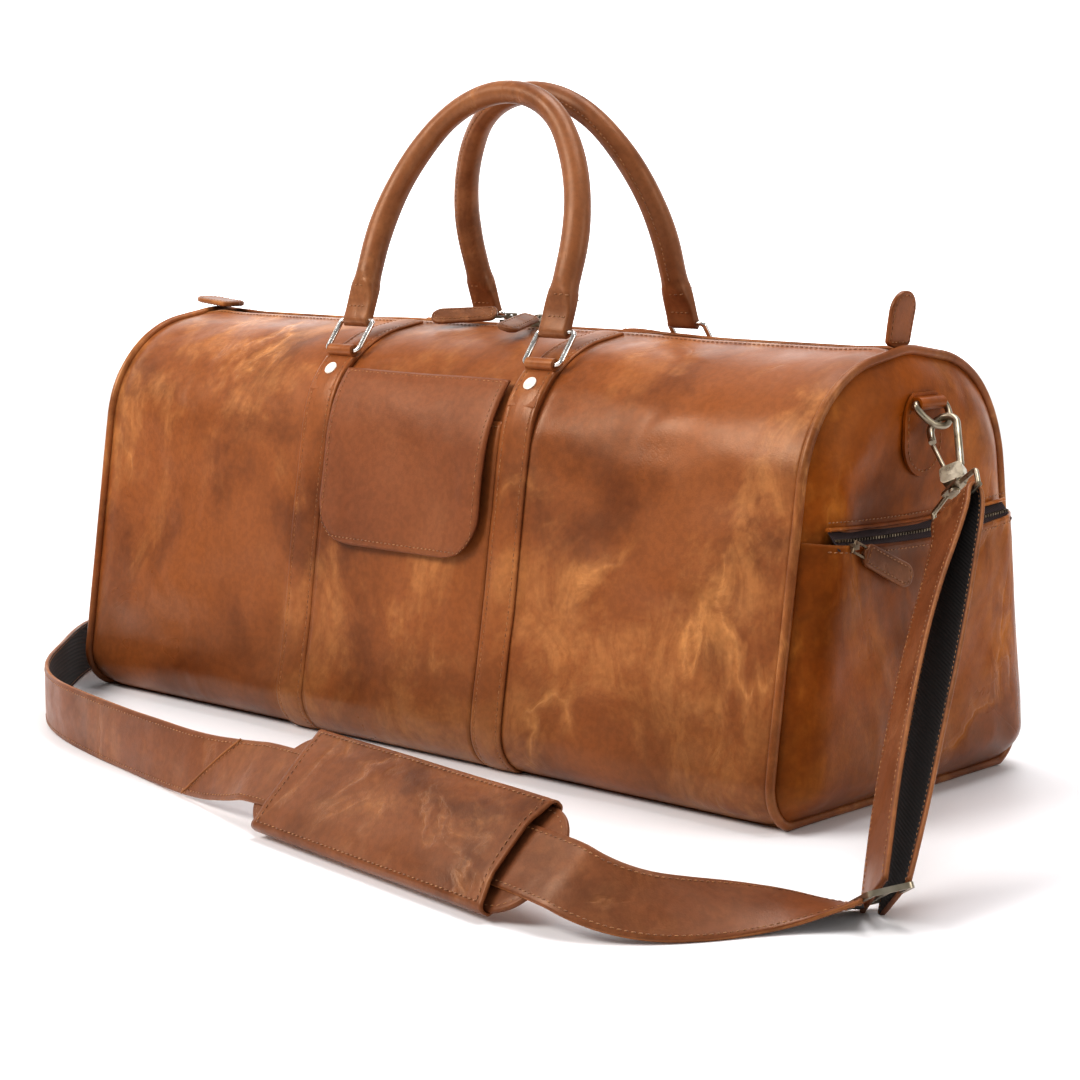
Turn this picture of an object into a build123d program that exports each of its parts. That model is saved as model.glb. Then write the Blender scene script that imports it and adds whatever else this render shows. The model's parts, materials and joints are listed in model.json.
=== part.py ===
from build123d import *
from math import cos, radians, sin, sqrt
import os

# Leather weekender bag.  Millimetres, +X along the bag, +Z up, +Y to the back.
# The origin is the centre of the flat bottom, on the surface the bag stands on.

# ---------------------------------------------------------------- driving dimensions
BODY_HALF = 302.0           # half length of the tube of leather between the end seams
BASE_HALF = 131.3           # side line of the section where it meets the base line
SHOULDER_HALF = 93.6        # side line of the section where it meets the top line
SHOULDER_Z = 252.2
RIDGE_Z = 267.0
BASE_RADIUS = 27.0
SHOULDER_RADIUS = 80.0
RIDGE_RADIUS = 60.0
LEATHER = 1.8
GAP = 0.4                   # usual clearance between separate layers

ZIP_SLOT_HALF = 9.0         # half width of the top opening that the zip closes
ZIP_HALF_LENGTH = 284.0
BASE_SEAM_HALF = 106.0
BAND_X = 89.0               # the two vertical straps, also the handle feet
BAND_WIDTH = 25.0
BAND_THICK = 2.0

END_BULGE_X = 316.0         # outer face of the end panels
END_RIM_X = 304.0
POCKET_FACE_X = 324.0       # outer face of the right end pocket
POCKET_TOP_Z = 158.0
POCKET_SLOT_X = 319.2       # line of the end pocket's zip

SHOULDER_CENTRE = (-23.2, 182.3)   # centre of the front shoulder arc (y, z)
RING_PIVOT_OFFSET = 6.2
RING_PIVOT_ANGLE = 51.3
RING_WIDTH = 29.5           # wire centre to wire centre
RING_HEIGHT = 24.0
RING_WIRE = 3.5
RING_LEAN = (0.6, 0.8)      # from the lower to the upper bar of a front ring (y, z)
LOOP_BORE = 1.85            # leather loop around a ring's bar
HANDLE_LEAN = (0.327, 0.945)
HANDLE_RADIUS = 9.5
HANDLE_START = 16.0
HANDLE_STRAIGHT = 45.0
HANDLE_SIDE_RADIUS = 133.0
HANDLE_SIDE_TURN = 40.0
HANDLE_TOP_RADIUS = 74.2

D_PIVOT = (320.6, 0.0, 235.0)
D_WIRE = 4.0
D_HALF_WIDTH = 15.0
D_HEIGHT = 16.0
D_LIFT_RIGHT = 37.5         # degrees outwards from hanging flat
D_LIFT_LEFT = 30.0
HOOK_AXIS_RIGHT = (0.52, -0.53, -0.67)
HOOK_SIDE_RIGHT = (0.854, 0.323, 0.408)
HOOK_AXIS_LEFT = (-0.42, -0.30, -0.857)
HOOK_SIDE_LEFT = (-0.90, 0.10, 0.41)
EYE_REACH = 61.0            # ring wire to the eye's strap bar
EYE_WIDTH_RIGHT = (-0.723, 0.130, -0.664)
EYE_WIDTH_LEFT = (-0.30, 0.95, -0.16)

STRAP_WIDTH = 38.0
STRAP_THICK = 3.0
ADJUSTER_AT = (441.0, -216.0, 13.0)
ADJUSTER_WIDTH = (-0.72, 0.55, -0.42)

PAD_AT = (200.0, -312.0, 30.5)
PAD_ALONG = (0.989, -0.1445, 0.0)
PAD_FACE = (-0.102, -0.699, 0.707)
PAD_LENGTH = 250.0
PAD_WIDTH = 65.0
SLEEVE_LENGTH = 208.0

# Centre line of the shoulder strap as it lies: x, y, z, then the direction of its upper edge.
STRAP_RUN = [
    ((-352.5, -17.0, 175.2), (-0.30, 0.95, -0.16)),
    ((-359.9, -20.0, 170.0), (-0.30, 0.95, -0.16)),
    ((-363.0, -31.0, 128.0), (-0.28, 0.94, 0.0)),
    ((-364.0, -49.0, 84.0), (-0.20, 0.88, 0.40)),
    ((-358.0, -76.0, 46.0), (-0.10, 0.50, 0.86)),
    ((-341.0, -104.0, 24.0), (0.0, 0.12, 0.99)),
    ((-303.0, -149.0, 19.2), (0.0, 0.0, 1.0)),
    ((-252.0, -204.0, 19.2), (0.0, 0.0, 1.0)),
    ((-203.0, -236.0, 19.2), (0.0, 0.0, 1.0)),
    ((-139.0, -255.0, 19.2), (0.0, 0.0, 1.0)),
    ((-66.0, -270.0, 19.2), (0.0, 0.03, 1.0)),
    ((2.0, -283.0, 20.5), (0.04, 0.24, 0.97)),
    ((53.0, -290.5, 30.5), (0.102, 0.70, 0.707)),
    ((75.0, -293.7, 30.5), (0.102, 0.70, 0.707)),
    ((325.0, -330.3, 30.5), (0.102, 0.70, 0.707)),
    ((351.0, -328.0, 22.0), (0.0, 0.72, 0.69)),
    ((372.0, -314.0, 15.5), (-0.25, 0.70, 0.67)),
    ((387.0, -293.0, 12.5), (-0.55, 0.54, 0.62)),
    ((398.0, -268.0, 10.2), (-0.74, 0.44, 0.44)),
    ((410.0, -245.0, 8.4), (-0.80, 0.46, 0.15)),
    ((426.0, -228.0, 7.6), (-0.74, 0.56, -0.22)),
]
LEFT_END_SECTIONS = 7       # sections of the run that hang behind the bag's left end
STRAP_LOOP = [
    ((437.5, -213.5, 18.5), (-0.72, 0.45, -0.50)),
    ((412.8, -166.9, 66.2), (-0.789, 0.197, -0.580)),
    ((385.2, -102.6, 125.9), (-0.789, 0.197, -0.580)),
    ((367.2, -45.7, 173.1), (-0.73, 0.135, -0.660)),
    ((359.8, -35.8, 183.2), (-0.723, 0.130, -0.664)),
    ((359.9, -29.5, 184.3), (-0.723, 0.130, -0.664)),
    ((364.3, -28.8, 179.7), (-0.723, 0.130, -0.664)),
    ((371.7, -38.7, 169.6), (-0.73, 0.135, -0.660)),
    ((394.2, -90.6, 117.7), (-0.789, 0.197, -0.580)),
    ((421.8, -154.9, 58.0), (-0.789, 0.197, -0.580)),
    ((441.6, -199.5, 19.6), (-0.76, 0.32, -0.54)),
]


# ---------------------------------------------------------------- helpers
def section(grow=0.0):
    """The bag's cross-section, offset outwards by grow, as a face on the YZ plane."""
    right = [(BASE_HALF, 0), (SHOULDER_HALF, SHOULDER_Z), (0, RIDGE_Z)]
    corners = [(-BASE_HALF, 0)] + right + [(-SHOULDER_HALF, SHOULDER_Z)]
    radii = [BASE_RADIUS, BASE_RADIUS, SHOULDER_RADIUS, RIDGE_RADIUS, SHOULDER_RADIUS]
    face = make_face(FilletPolyline(*corners, radius=radii, close=True))
    return offset(face, amount=grow) if grow else face


def prism(face, x_low, x_high):
    return extrude(Plane.YZ.offset(x_low) * face, amount=x_high - x_low)


def skin(inner, outer, x_low, x_high):
    """A layer that follows the section between two offsets."""
    return prism(section(outer), x_low, x_high) - prism(section(inner), x_low - 1, x_high + 1)


def block(x_low, x_high, y_low, y_high, z_low, z_high):
    size = (x_high - x_low, y_high - y_low, z_high - z_low)
    middle = ((x_low + x_high) / 2, (y_low + y_high) / 2, (z_low + z_high) / 2)
    return Pos(*middle) * Box(*size)


def dome(rim, rim_x, plateau, plateau_x, base_x):
    """A shallow closed dome on the section: straight rim, sloping flank, flat plateau."""
    rim_face = section(rim)
    plateau_face = Plane.YZ.offset(plateau_x) * section(plateau)
    flank = loft([Plane.YZ.offset(rim_x) * rim_face, plateau_face], ruled=True)
    return prism(rim_face, base_x, rim_x) + flank


def mirror_x(shape):
    return mirror(shape, about=Plane.YZ)


def mirror_y(shape):
    return mirror(shape, about=Plane.XZ)


def along_x(radius, x_low, x_high, y, z):
    cylinder = Cylinder(radius, x_high - x_low, rotation=(0, 90, 0))
    return Pos((x_low + x_high) / 2, y, z) * cylinder


def along_y(radius, x, y_low, y_high, z):
    cylinder = Cylinder(radius, y_high - y_low, rotation=(90, 0, 0))
    return Pos(x, (y_low + y_high) / 2, z) * cylinder


def closed_wire(path, radius):
    """Round wire bent along a closed path."""
    return sweep(Plane(origin=path @ 0, z_dir=path % 0) * Circle(radius), path=path)


def unit(vector):
    length = sqrt(sum(v * v for v in vector))
    return tuple(v / length for v in vector)


def shoulder_point(angle, grow):
    """A point (y, z) on the front shoulder, angle in degrees above the horizontal."""
    reach = SHOULDER_RADIUS + grow
    away = (reach * cos(radians(angle)), reach * sin(radians(angle)))
    return (SHOULDER_CENTRE[0] - away[0], SHOULDER_CENTRE[1] + away[1])


def strap_sections(route, thickness, width):
    """Sections of a flat strap along a route, its width along each point's own direction."""
    faces = []
    for index, (point, upward) in enumerate(route):
        before = Vector(*route[max(index - 1, 0)][0])
        after = Vector(*route[min(index + 1, len(route) - 1)][0])
        here = Vector(*point)
        tangent = Vector(0, 0, 0)
        for step in (here - before, after - here):
            if step.length > 0:
                tangent = tangent + step.normalized()
        tangent = tangent.normalized()
        edge = Vector(*upward)
        edge = (edge - tangent * edge.dot(tangent)).normalized()
        faces.append(Plane(origin=here, x_dir=edge, z_dir=tangent) * Rectangle(width, thickness))
    return faces


def strap_solid(sections):
    """One solid from the straight pieces between neighbouring sections."""
    pieces = [loft([first, second], ruled=True) for first, second in zip(sections, sections[1:])]
    solid = pieces[0]
    for piece in pieces[1:]:
        solid = solid + piece
    return solid


def local_plane(origin, x_dir, z_dir):
    return Plane(origin=Vector(*origin), x_dir=Vector(*x_dir), z_dir=Vector(*z_dir))


nodes = {}


# ---------------------------------------------------------------- body panels
def make_panels():
    whole = skin(-LEATHER, 0, -BODY_HALF, BODY_HALF)
    base_zone = block(-400, 400, -BASE_SEAM_HALF, BASE_SEAM_HALF, -1, 8)
    nodes["bottom_panel"] = whole & base_zone
    seam_gap = block(-400, 400, -BASE_SEAM_HALF - 0.2, BASE_SEAM_HALF + 0.2, -1, 8.2)
    front = (whole & block(-400, 400, -200, -ZIP_SLOT_HALF, -1, 400)) - seam_gap
    nodes["front_panel"] = front
    nodes["back_panel"] = mirror_y(front)
    outside = dome(-4.0, END_RIM_X, -30.0, END_BULGE_X, BODY_HALF - 1)
    end_panel = outside - Pos(-LEATHER, 0, 0) * outside
    nodes["end_panel_right"] = end_panel
    nodes["end_panel_left"] = mirror_x(end_panel)


def make_piping():
    wire = section(-1.2).faces()[0].outer_wire()
    path = Plane.YZ.offset(END_RIM_X + 0.7) * wire
    start = path @ 0
    profile = Plane(origin=start, z_dir=path % 0) * Circle(2.5)
    cord = sweep(profile, path=path, transition=Transition.ROUND)
    cord = cord & block(290, 320, -200, 200, 0, 300)
    nodes["piping_right"] = cord
    nodes["piping_left"] = mirror_x(cord)


def make_bands():
    layer = skin(0.1, 0.1 + BAND_THICK, BAND_X - BAND_WIDTH / 2, BAND_X + BAND_WIDTH / 2)
    above_floor = layer & block(0, 200, -200, 200, 0.3, 300)
    under_base = block(0, 200, -BASE_SEAM_HALF - 1, BASE_SEAM_HALF + 1, -5, 12)
    at_zip = block(0, 200, -14, 14, 200, 300)
    band = above_floor - under_base - at_zip
    nodes["band_right"] = band
    nodes["band_left"] = mirror_x(band)


# ---------------------------------------------------------------- inside
def make_inside():
    slot = block(-400, 400, -16, 16, 200, 300)
    outer = prism(section(-3.4), -300, 300)
    inner = prism(section(-4.2), -299.2, 299.2)
    nodes["lining"] = outer - inner - slot
    nodes["base_board"] = block(-290, 290, -98, 98, 4.8, 7.6)


# ---------------------------------------------------------------- main zip
def make_main_zip():
    tape = skin(-2.9, -2.1, -ZIP_HALF_LENGTH, ZIP_HALF_LENGTH)
    front_tape = tape & block(-400, 400, -16, -3.1, 200, 300)
    nodes["main_zip_tapes"] = Compound(children=[front_tape, mirror_y(front_tape)])
    teeth = skin(-4.0, -1.2, -ZIP_HALF_LENGTH, ZIP_HALF_LENGTH) & block(-400, 400, -2.8, 2.8, 200, 300)
    nodes["main_zip_teeth"] = teeth
    upright = block(296, 299.6, -11, 11, 268.4, 284)
    upright += Pos(297.8, 0, 284) * Cylinder(11, 3.6, rotation=(0, 90, 0))
    foot = block(285, 299.6, -11, 11, 267.6, 271.2)
    nodes["zip_end_tab_right"] = upright + foot
    flat = block(-311, -285, -11, 11, 268.0, 271.6) + Pos(-311, 0, 269.8) * Cylinder(11, 3.6)
    nodes["zip_end_tab_left"] = flat


def make_slider(x, along):
    shell = block(x - 6, x + 6, -5.5, 5.5, 264.2, 269.4)
    tunnel = skin(-9, -0.8, x - 7, x + 7) & block(-400, 400, -3.2, 3.2, 200, 300)
    above_tape = skin(-9, -1.7, x - 7, x + 7)
    bridge = Box(7.2, 1.8, 4.4) - Cylinder(1.35, 8, rotation=(90, 0, 0))
    bridge = local_plane((x, 0, SLIDER_BRIDGE_Z), (along[0], along[1], 0), (0, 0, 1)) * bridge
    return shell - tunnel - above_tape + bridge


def make_pull(pivot, direction, out):
    """A wire link through the slider's bridge and the stitched leather pull on it."""
    frame = local_plane(pivot, direction, out)
    link = extrude(Rectangle(13, 7.4) - Rectangle(10.4, 4.8), amount=0.65, both=True)
    link = Pos(5.85, 0, 0) * link
    tab = Pos(32.0, 0, 0) * extrude(SlotOverall(44, 14), amount=1.7, both=True)
    notch = Pos(11.2, 0, 0) * Box(4.4, 9.6, 2.0)
    return frame * link, frame * (tab - notch)


SLIDERS = {"left": (-8.0, (-0.86, -0.5, -0.06)), "right": (16.0, (0.31, -0.93, -0.12))}
SLIDER_BRIDGE_Z = 271.6


def make_sliders():
    for side, (x, direction) in SLIDERS.items():
        along = unit(direction)
        across = unit((along[1], -along[0], 0))
        nodes["zip_slider_" + side] = make_slider(x, along)
        up = Vector(*across).cross(Vector(*along))
        up = (up.X, up.Y, up.Z) if up.Z > 0 else (-up.X, -up.Y, -up.Z)
        link, pull = make_pull((x, 0, SLIDER_BRIDGE_Z), along, up)
        nodes["pull_link_" + side] = link
        nodes["leather_pull_" + side] = pull


# ---------------------------------------------------------------- front pocket
FLAP_TOP_Z = 236.0
FLAP_BOTTOM_Z = 128.0
FLAP_LEFT = -72.0
FLAP_RIGHT = 71.0
SNAP_Z = 146.0


def make_front_pocket():
    layer = skin(0.3, 2.1, -76, 76)
    nodes["front_pocket_panel"] = layer & block(-76, 76, -200, -BASE_SEAM_HALF - 2, 3, 214)
    flap = skin(3.3, 5.1, FLAP_LEFT, FLAP_RIGHT)
    flap = flap & block(-200, 200, -200, 0, FLAP_BOTTOM_Z, FLAP_TOP_Z)
    outline = block(FLAP_LEFT, FLAP_RIGHT, -200, 0, FLAP_BOTTOM_Z + 30, FLAP_TOP_Z)
    outline += block(FLAP_LEFT + 30, FLAP_RIGHT - 30, -200, 0, FLAP_BOTTOM_Z, FLAP_TOP_Z)
    for x in (FLAP_LEFT + 30, FLAP_RIGHT - 30):
        outline += Pos(x, -100, FLAP_BOTTOM_Z + 30) * Cylinder(30, 200, rotation=(90, 0, 0))
    nodes["pocket_flap"] = flap & outline
    stud = Pos(0, -120, SNAP_Z) * Cylinder(7, 40, rotation=(90, 0, 0))
    nodes["snap_magnet_pocket"] = skin(2.15, 2.65, -20, 20) & stud
    nodes["snap_magnet_flap"] = skin(2.95, 3.25, -20, 20) & stud


# ---------------------------------------------------------------- right end pocket
def make_end_pocket():
    outside = dome(-4.4, 306.0, -16.0, POCKET_FACE_X, 304.6)
    inside = Pos(-LEATHER, 0, 0) * outside
    panel_face = dome(-4.0, END_RIM_X, -30.0, END_BULGE_X, 290.0)
    below = block(300, 340, -200, 200, 0, POCKET_TOP_Z)
    nodes["end_pocket_panel"] = (outside - inside - panel_face) & below
    room = (inside & below) - Pos(GAP, 0, 0) * panel_face
    room = room & block(300, 340, -86, 86, 0, POCKET_TOP_Z)
    tape = Pos(-0.3, 0, 0) * room & block(300, 340, -86, 86, 156.0, 156.8)
    teeth_x = (POCKET_SLOT_X - 1.4, POCKET_SLOT_X + 1.4)
    nodes["end_zip_tapes"] = tape - block(teeth_x[0] - 0.1, teeth_x[1] + 0.1, -90, 90, 150, 160)
    nodes["end_zip_teeth"] = block(*teeth_x, -85, 85, 155.4, 157.9)


END_SLIDER_Y = -79.0
END_PULL_PIVOT = (326.2, END_SLIDER_Y, 160.6)
END_PULL_ALONG = (0.06, 0.90, -0.43)


def make_end_slider():
    plate = block(316.6, 323.4, END_SLIDER_Y - 6, END_SLIDER_Y + 6, 158.4, 161.0)
    arm = block(323.4, 328.2, END_SLIDER_Y - 1.8, END_SLIDER_Y + 1.8, 159.0, 162.2)
    hole = local_plane(END_PULL_PIVOT, (1, 0, 0), (0, -END_PULL_ALONG[2], END_PULL_ALONG[1])) * Cylinder(1.7, 8)
    nodes["end_zip_slider"] = plate + arm - hole
    along = unit(END_PULL_ALONG)
    outwards = (Vector(1, 0, 0) - Vector(*along) * along[0]).normalized()
    link, pull = make_pull(END_PULL_PIVOT, along, (outwards.X, outwards.Y, outwards.Z))
    nodes["end_pull_link"] = link
    nodes["end_leather_pull"] = pull


# ---------------------------------------------------------------- handles
RING_PIVOT = shoulder_point(RING_PIVOT_ANGLE, RING_PIVOT_OFFSET)
HANDLE_PIVOT = tuple(low + RING_HEIGHT * lean for low, lean in zip(RING_PIVOT, RING_LEAN))


def make_ring_tab(x):
    """Folded leather tab on a band, with the loop that holds a ring's lower bar."""
    half = 11.0
    tail = skin(2.5, 4.5, x - half, x + half) & block(x - half, x + half, -96, RING_PIVOT[0], 224, 260)
    loop = along_x(3.9, x - half, x + half, *RING_PIVOT)
    return tail + loop - along_x(LOOP_BORE, x - 20, x + 20, *RING_PIVOT)


def make_rivet(x):
    y, z = shoulder_point(41.0, 4.6)
    normal = (0, -cos(radians(41.0)), sin(radians(41.0)))
    return local_plane((x, y, z), (1, 0, 0), normal) * (Pos(0, 0, 0.6) * Cylinder(4.6, 1.2))


def make_ring(x):
    """A rectangular wire ring, its lower bar on the tab and its upper bar in the handle."""
    half_width, half_height = RING_WIDTH / 2, RING_HEIGHT / 2
    lower = [(-half_width, -half_height), (half_width, -half_height)]
    corners = lower + [(half_width, half_height), (-half_width, half_height)]
    ring = closed_wire(FilletPolyline(*corners, radius=3.0, close=True), RING_WIRE / 2)
    normal = (0, -RING_LEAN[1], RING_LEAN[0])
    middle = (x, (RING_PIVOT[0] + HANDLE_PIVOT[0]) / 2, (RING_PIVOT[1] + HANDLE_PIVOT[1]) / 2)
    return local_plane(middle, (1, 0, 0), normal) * ring


def handle_frame():
    """Local X along the bag, local Y up the handle, origin between the two upper bars."""
    normal = (0, -HANDLE_LEAN[1], HANDLE_LEAN[0])
    return local_plane((0, *HANDLE_PIVOT), (1, 0, 0), normal)


def handle_path():
    start = Line((-BAND_X, HANDLE_START), (-BAND_X, HANDLE_STRAIGHT))
    rise = JernArc(start @ 1, start % 1, HANDLE_SIDE_RADIUS, -HANDLE_SIDE_TURN)
    crown = JernArc(rise @ 1, rise % 1, HANDLE_TOP_RADIUS, -2 * (90 - HANDLE_SIDE_TURN))
    fall = JernArc(crown @ 1, crown % 1, HANDLE_SIDE_RADIUS, -HANDLE_SIDE_TURN)
    end = Line(fall @ 1, (fall @ 1) - Vector(0, HANDLE_STRAIGHT - HANDLE_START))
    return Wire([start.edge(), rise.edge(), crown.edge(), fall.edge(), end.edge()])


def tube(path, radius):
    return sweep(Plane(origin=path @ 0, z_dir=path % 0) * Circle(radius), path=path)


def make_handle():
    path = handle_path()
    frame = handle_frame()
    grip = frame * (tube(path, HANDLE_RADIUS) - tube(path, HANDLE_RADIUS - 2.1))
    core = frame * tube(path, HANDLE_RADIUS - 2.3)
    ends = []
    for x in (-BAND_X, BAND_X):
        loop = Pos(x, 0, 0) * Cylinder(4.4, 22, rotation=(0, 90, 0))
        neck = Pos(x, 9.0, 0) * Box(20, 13.6, 7.6)
        end = loop + neck - Pos(x, 0, 0) * Cylinder(LOOP_BORE, 30, rotation=(0, 90, 0))
        ends.append(frame * end)
    return grip, core, Compound(children=ends)


def make_handles():
    tabs = [make_ring_tab(x) for x in (-BAND_X, BAND_X)]
    rivets = [make_rivet(x) for x in (-BAND_X, BAND_X)]
    rings = [make_ring(x) for x in (-BAND_X, BAND_X)]
    grip, core, ends = make_handle()
    nodes["ring_tabs"] = Compound(children=tabs + [mirror_y(tab) for tab in tabs])
    nodes["rivets"] = Compound(children=rivets + [mirror_y(rivet) for rivet in rivets])
    nodes["front_rings"] = Compound(children=rings)
    nodes["back_rings"] = Compound(children=[mirror_y(ring) for ring in rings])
    for name, shape in (("grip", grip), ("core", core), ("loops", ends)):
        nodes["front_handle_" + name] = shape
        nodes["back_handle_" + name] = mirror_y(shape)


# ---------------------------------------------------------------- strap fittings
def make_d_tab():
    """Stitched patch on the end panel with the loop that holds the D-ring's bar."""
    x, y, z = D_PIVOT
    oval = extrude(Plane.YZ * SlotOverall(52, 40, rotation=90), amount=1.0, both=True)
    patch = Pos(END_BULGE_X + 1.0, y, z - 17) * oval
    patch = patch & block(316.2, 318.0, -40, 40, z - 43, z + 6)
    loop = along_y(3.9, x, y - 12.5, y + 12.5, z)
    loop += block(317.5, x, y - 12.5, y + 12.5, z - 3.9, z + 3.9)
    return patch + loop - along_y(D_WIRE / 2 + 0.12, x, y - 20, y + 20, z)


def make_d_ring(lift):
    """D-ring wire, its bar along Y at the pivot, its bow hanging at lift degrees outwards."""
    bow = ThreePointArc((D_HALF_WIDTH, 0), (0, -D_HEIGHT), (-D_HALF_WIDTH, 0))
    bar = Line((-D_HALF_WIDTH, 0), (D_HALF_WIDTH, 0))
    face = make_face([bow.edge(), bar.edge()])
    face = fillet(face.vertices(), 2.5)
    ring = closed_wire(face.faces()[0].outer_wire(), D_WIRE / 2)
    angle = radians(lift)
    return local_plane(D_PIVOT, (0, 1, 0), (cos(angle), 0, sin(angle))) * ring


def ring_bottom(lift):
    angle = radians(lift)
    return (D_PIVOT[0] + D_HEIGHT * sin(angle), D_PIVOT[1], D_PIVOT[2] - D_HEIGHT * cos(angle))


HOOK_WIRE = 2.2
HOOK_PLAY = 2.1                  # room between the ring's wire and the hook's crown
GATE_PIN_AT = (-2.6, -34.5)      # in the hook's own plane: sideways, along the hook


def make_hook(frame):
    """Snap hook in its own frame: local Z back towards the ring, local X to the spine side."""
    top = D_WIRE / 2 + HOOK_PLAY + HOOK_WIRE
    outline = FilletPolyline((6.2, -33), (9.0, top), (-8.5, top), (-7.8, -9), radius=8.2)
    upright = Plane.XZ * outline
    bow = sweep(Plane(origin=upright @ 0, z_dir=upright % 0) * Circle(HOOK_WIRE), path=upright)
    barrel = Pos(1.2, 0, -38.0) * Box(14, 7.0, 12.0)
    barrel = fillet(barrel.edges().filter_by(Axis.Y), 3.0)
    gate_slot = Pos(GATE_PIN_AT[0] - 3.4, 0, GATE_PIN_AT[1] + 1.6) * Box(12.4, 3.0, 9.4)
    pin_hole = Pos(GATE_PIN_AT[0], 0, GATE_PIN_AT[1]) * Cylinder(0.85, 12, rotation=(90, 0, 0))
    post = Pos(0, 0, -46.6) * Cylinder(1.9, 6.4)
    head = Pos(0, 0, -50.2) * Cylinder(3.2, 1.8)
    hook = bow + barrel - gate_slot - pin_hole + post + head
    pin = Pos(GATE_PIN_AT[0], 0, GATE_PIN_AT[1]) * Cylinder(0.8, 7.0, rotation=(90, 0, 0))
    lever = Wire([Line((GATE_PIN_AT[0], GATE_PIN_AT[1]), (-7.8, -11.8)).edge()])
    lever = Plane.XZ * lever
    gate = sweep(Plane(origin=lever @ 0, z_dir=lever % 0) * Circle(1.3), path=lever)
    knuckle = Pos(GATE_PIN_AT[0], 0, GATE_PIN_AT[1]) * Cylinder(2.2, 2.4, rotation=(90, 0, 0))
    bore = Pos(GATE_PIN_AT[0], 0, GATE_PIN_AT[1]) * Cylinder(0.86, 12, rotation=(90, 0, 0))
    gate = gate + knuckle - bore
    return frame * hook, frame * pin, frame * gate


def make_eye(bottom, axis, width):
    """Swivel stirrup: a bored top plate on the hook's post, two legs and the strap's bar."""
    frame = local_plane(bottom, width, tuple(-a for a in axis))
    plate = Pos(0, 0, -47.4) * Box(15, 7.0, 2.2) - Pos(0, 0, -47.4) * Cylinder(2.3, 6)
    half = STRAP_WIDTH / 2 + 2.2
    legs = []
    for side in (-1, 1):
        corners = [(side * 6.5, -47.4), (side * half, -49.6), (side * half, -EYE_REACH)]
        outline = FilletPolyline(*corners, radius=2.6)
        upright = Plane.XZ * outline
        legs.append(sweep(Plane(origin=upright @ 0, z_dir=upright % 0) * Circle(1.5), path=upright))
    bar = Pos(0, 0, -EYE_REACH) * Cylinder(1.5, 2 * half + 3, rotation=(0, 90, 0))
    return frame * (plate + legs[0] + legs[1] + bar)


def make_strap_fittings():
    tab = make_d_tab()
    nodes["d_ring_tab_right"] = tab
    nodes["d_ring_tab_left"] = mirror_x(tab)
    nodes["d_ring_right"] = make_d_ring(D_LIFT_RIGHT)
    nodes["d_ring_left"] = mirror_x(make_d_ring(D_LIFT_LEFT))
    low_right = ring_bottom(D_LIFT_RIGHT)
    low_left = ring_bottom(D_LIFT_LEFT)
    low_left = (-low_left[0], low_left[1], low_left[2])
    sides = {"right": (low_right, HOOK_AXIS_RIGHT, HOOK_SIDE_RIGHT, EYE_WIDTH_RIGHT),
             "left": (low_left, HOOK_AXIS_LEFT, HOOK_SIDE_LEFT, EYE_WIDTH_LEFT)}
    for side, (bottom, axis, sideways, width) in sides.items():
        axis = unit(axis)
        frame = local_plane(bottom, sideways, tuple(-a for a in axis))
        hook, pin, gate = make_hook(frame)
        nodes["snap_hook_" + side] = hook
        nodes["gate_pin_" + side] = pin
        nodes["hook_gate_" + side] = gate
        nodes["swivel_eye_" + side] = make_eye(bottom, axis, width)


# ---------------------------------------------------------------- shoulder strap
def make_adjuster():
    """Slide adjuster: a rectangular frame with a centre bar across the strap."""
    across = unit(ADJUSTER_WIDTH)
    frame = local_plane(ADJUSTER_AT, across, (0.45, -0.13, -0.94))
    outer = RectangleRounded(STRAP_WIDTH + 9, 25, 4)
    inner = RectangleRounded(STRAP_WIDTH + 3, 18, 2)
    body = frame * extrude(outer - inner, amount=1.5, both=True)
    bar = frame * Cylinder(1.4, STRAP_WIDTH + 2.8, rotation=(0, 90, 0))
    return body, bar


def make_strap():
    run = strap_sections(STRAP_RUN, STRAP_THICK, STRAP_WIDTH)
    nodes["strap_run"] = strap_solid(run[LEFT_END_SECTIONS - 1:])
    nodes["strap_end_left"] = strap_solid(run[:LEFT_END_SECTIONS])
    loop = strap_sections(STRAP_LOOP, STRAP_THICK, STRAP_WIDTH)
    nodes["strap_loop"] = strap_solid(loop)
    body, bar = make_adjuster()
    nodes["adjuster_frame"] = body
    nodes["adjuster_bar"] = bar
    frame = local_plane(PAD_AT, PAD_ALONG, PAD_FACE)
    base = Pos(0, 0, -4.1) * extrude(RectangleRounded(PAD_LENGTH, PAD_WIDTH, 22), amount=1.9, both=True)
    nodes["shoulder_pad_base"] = frame * base
    outer = Pos(0, 0, -1.9) * Box(SLEEVE_LENGTH, 69.0, 11.2)
    inner = Pos(0, 0, -1.9) * Box(SLEEVE_LENGTH + 2, 66.0, 8.6)
    nodes["shoulder_pad_sleeve"] = frame * (outer - inner)


def main():
    make_panels()
    make_piping()
    make_bands()
    make_inside()
    make_main_zip()
    make_sliders()
    make_front_pocket()
    make_end_pocket()
    make_end_slider()
    make_handles()
    make_strap_fittings()
    make_strap()
    os.makedirs("parts", exist_ok=True)
    for name, shape in nodes.items():
        export_step(shape, "parts/" + name + ".step")


main()
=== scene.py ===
import json
import math
import random

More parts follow.
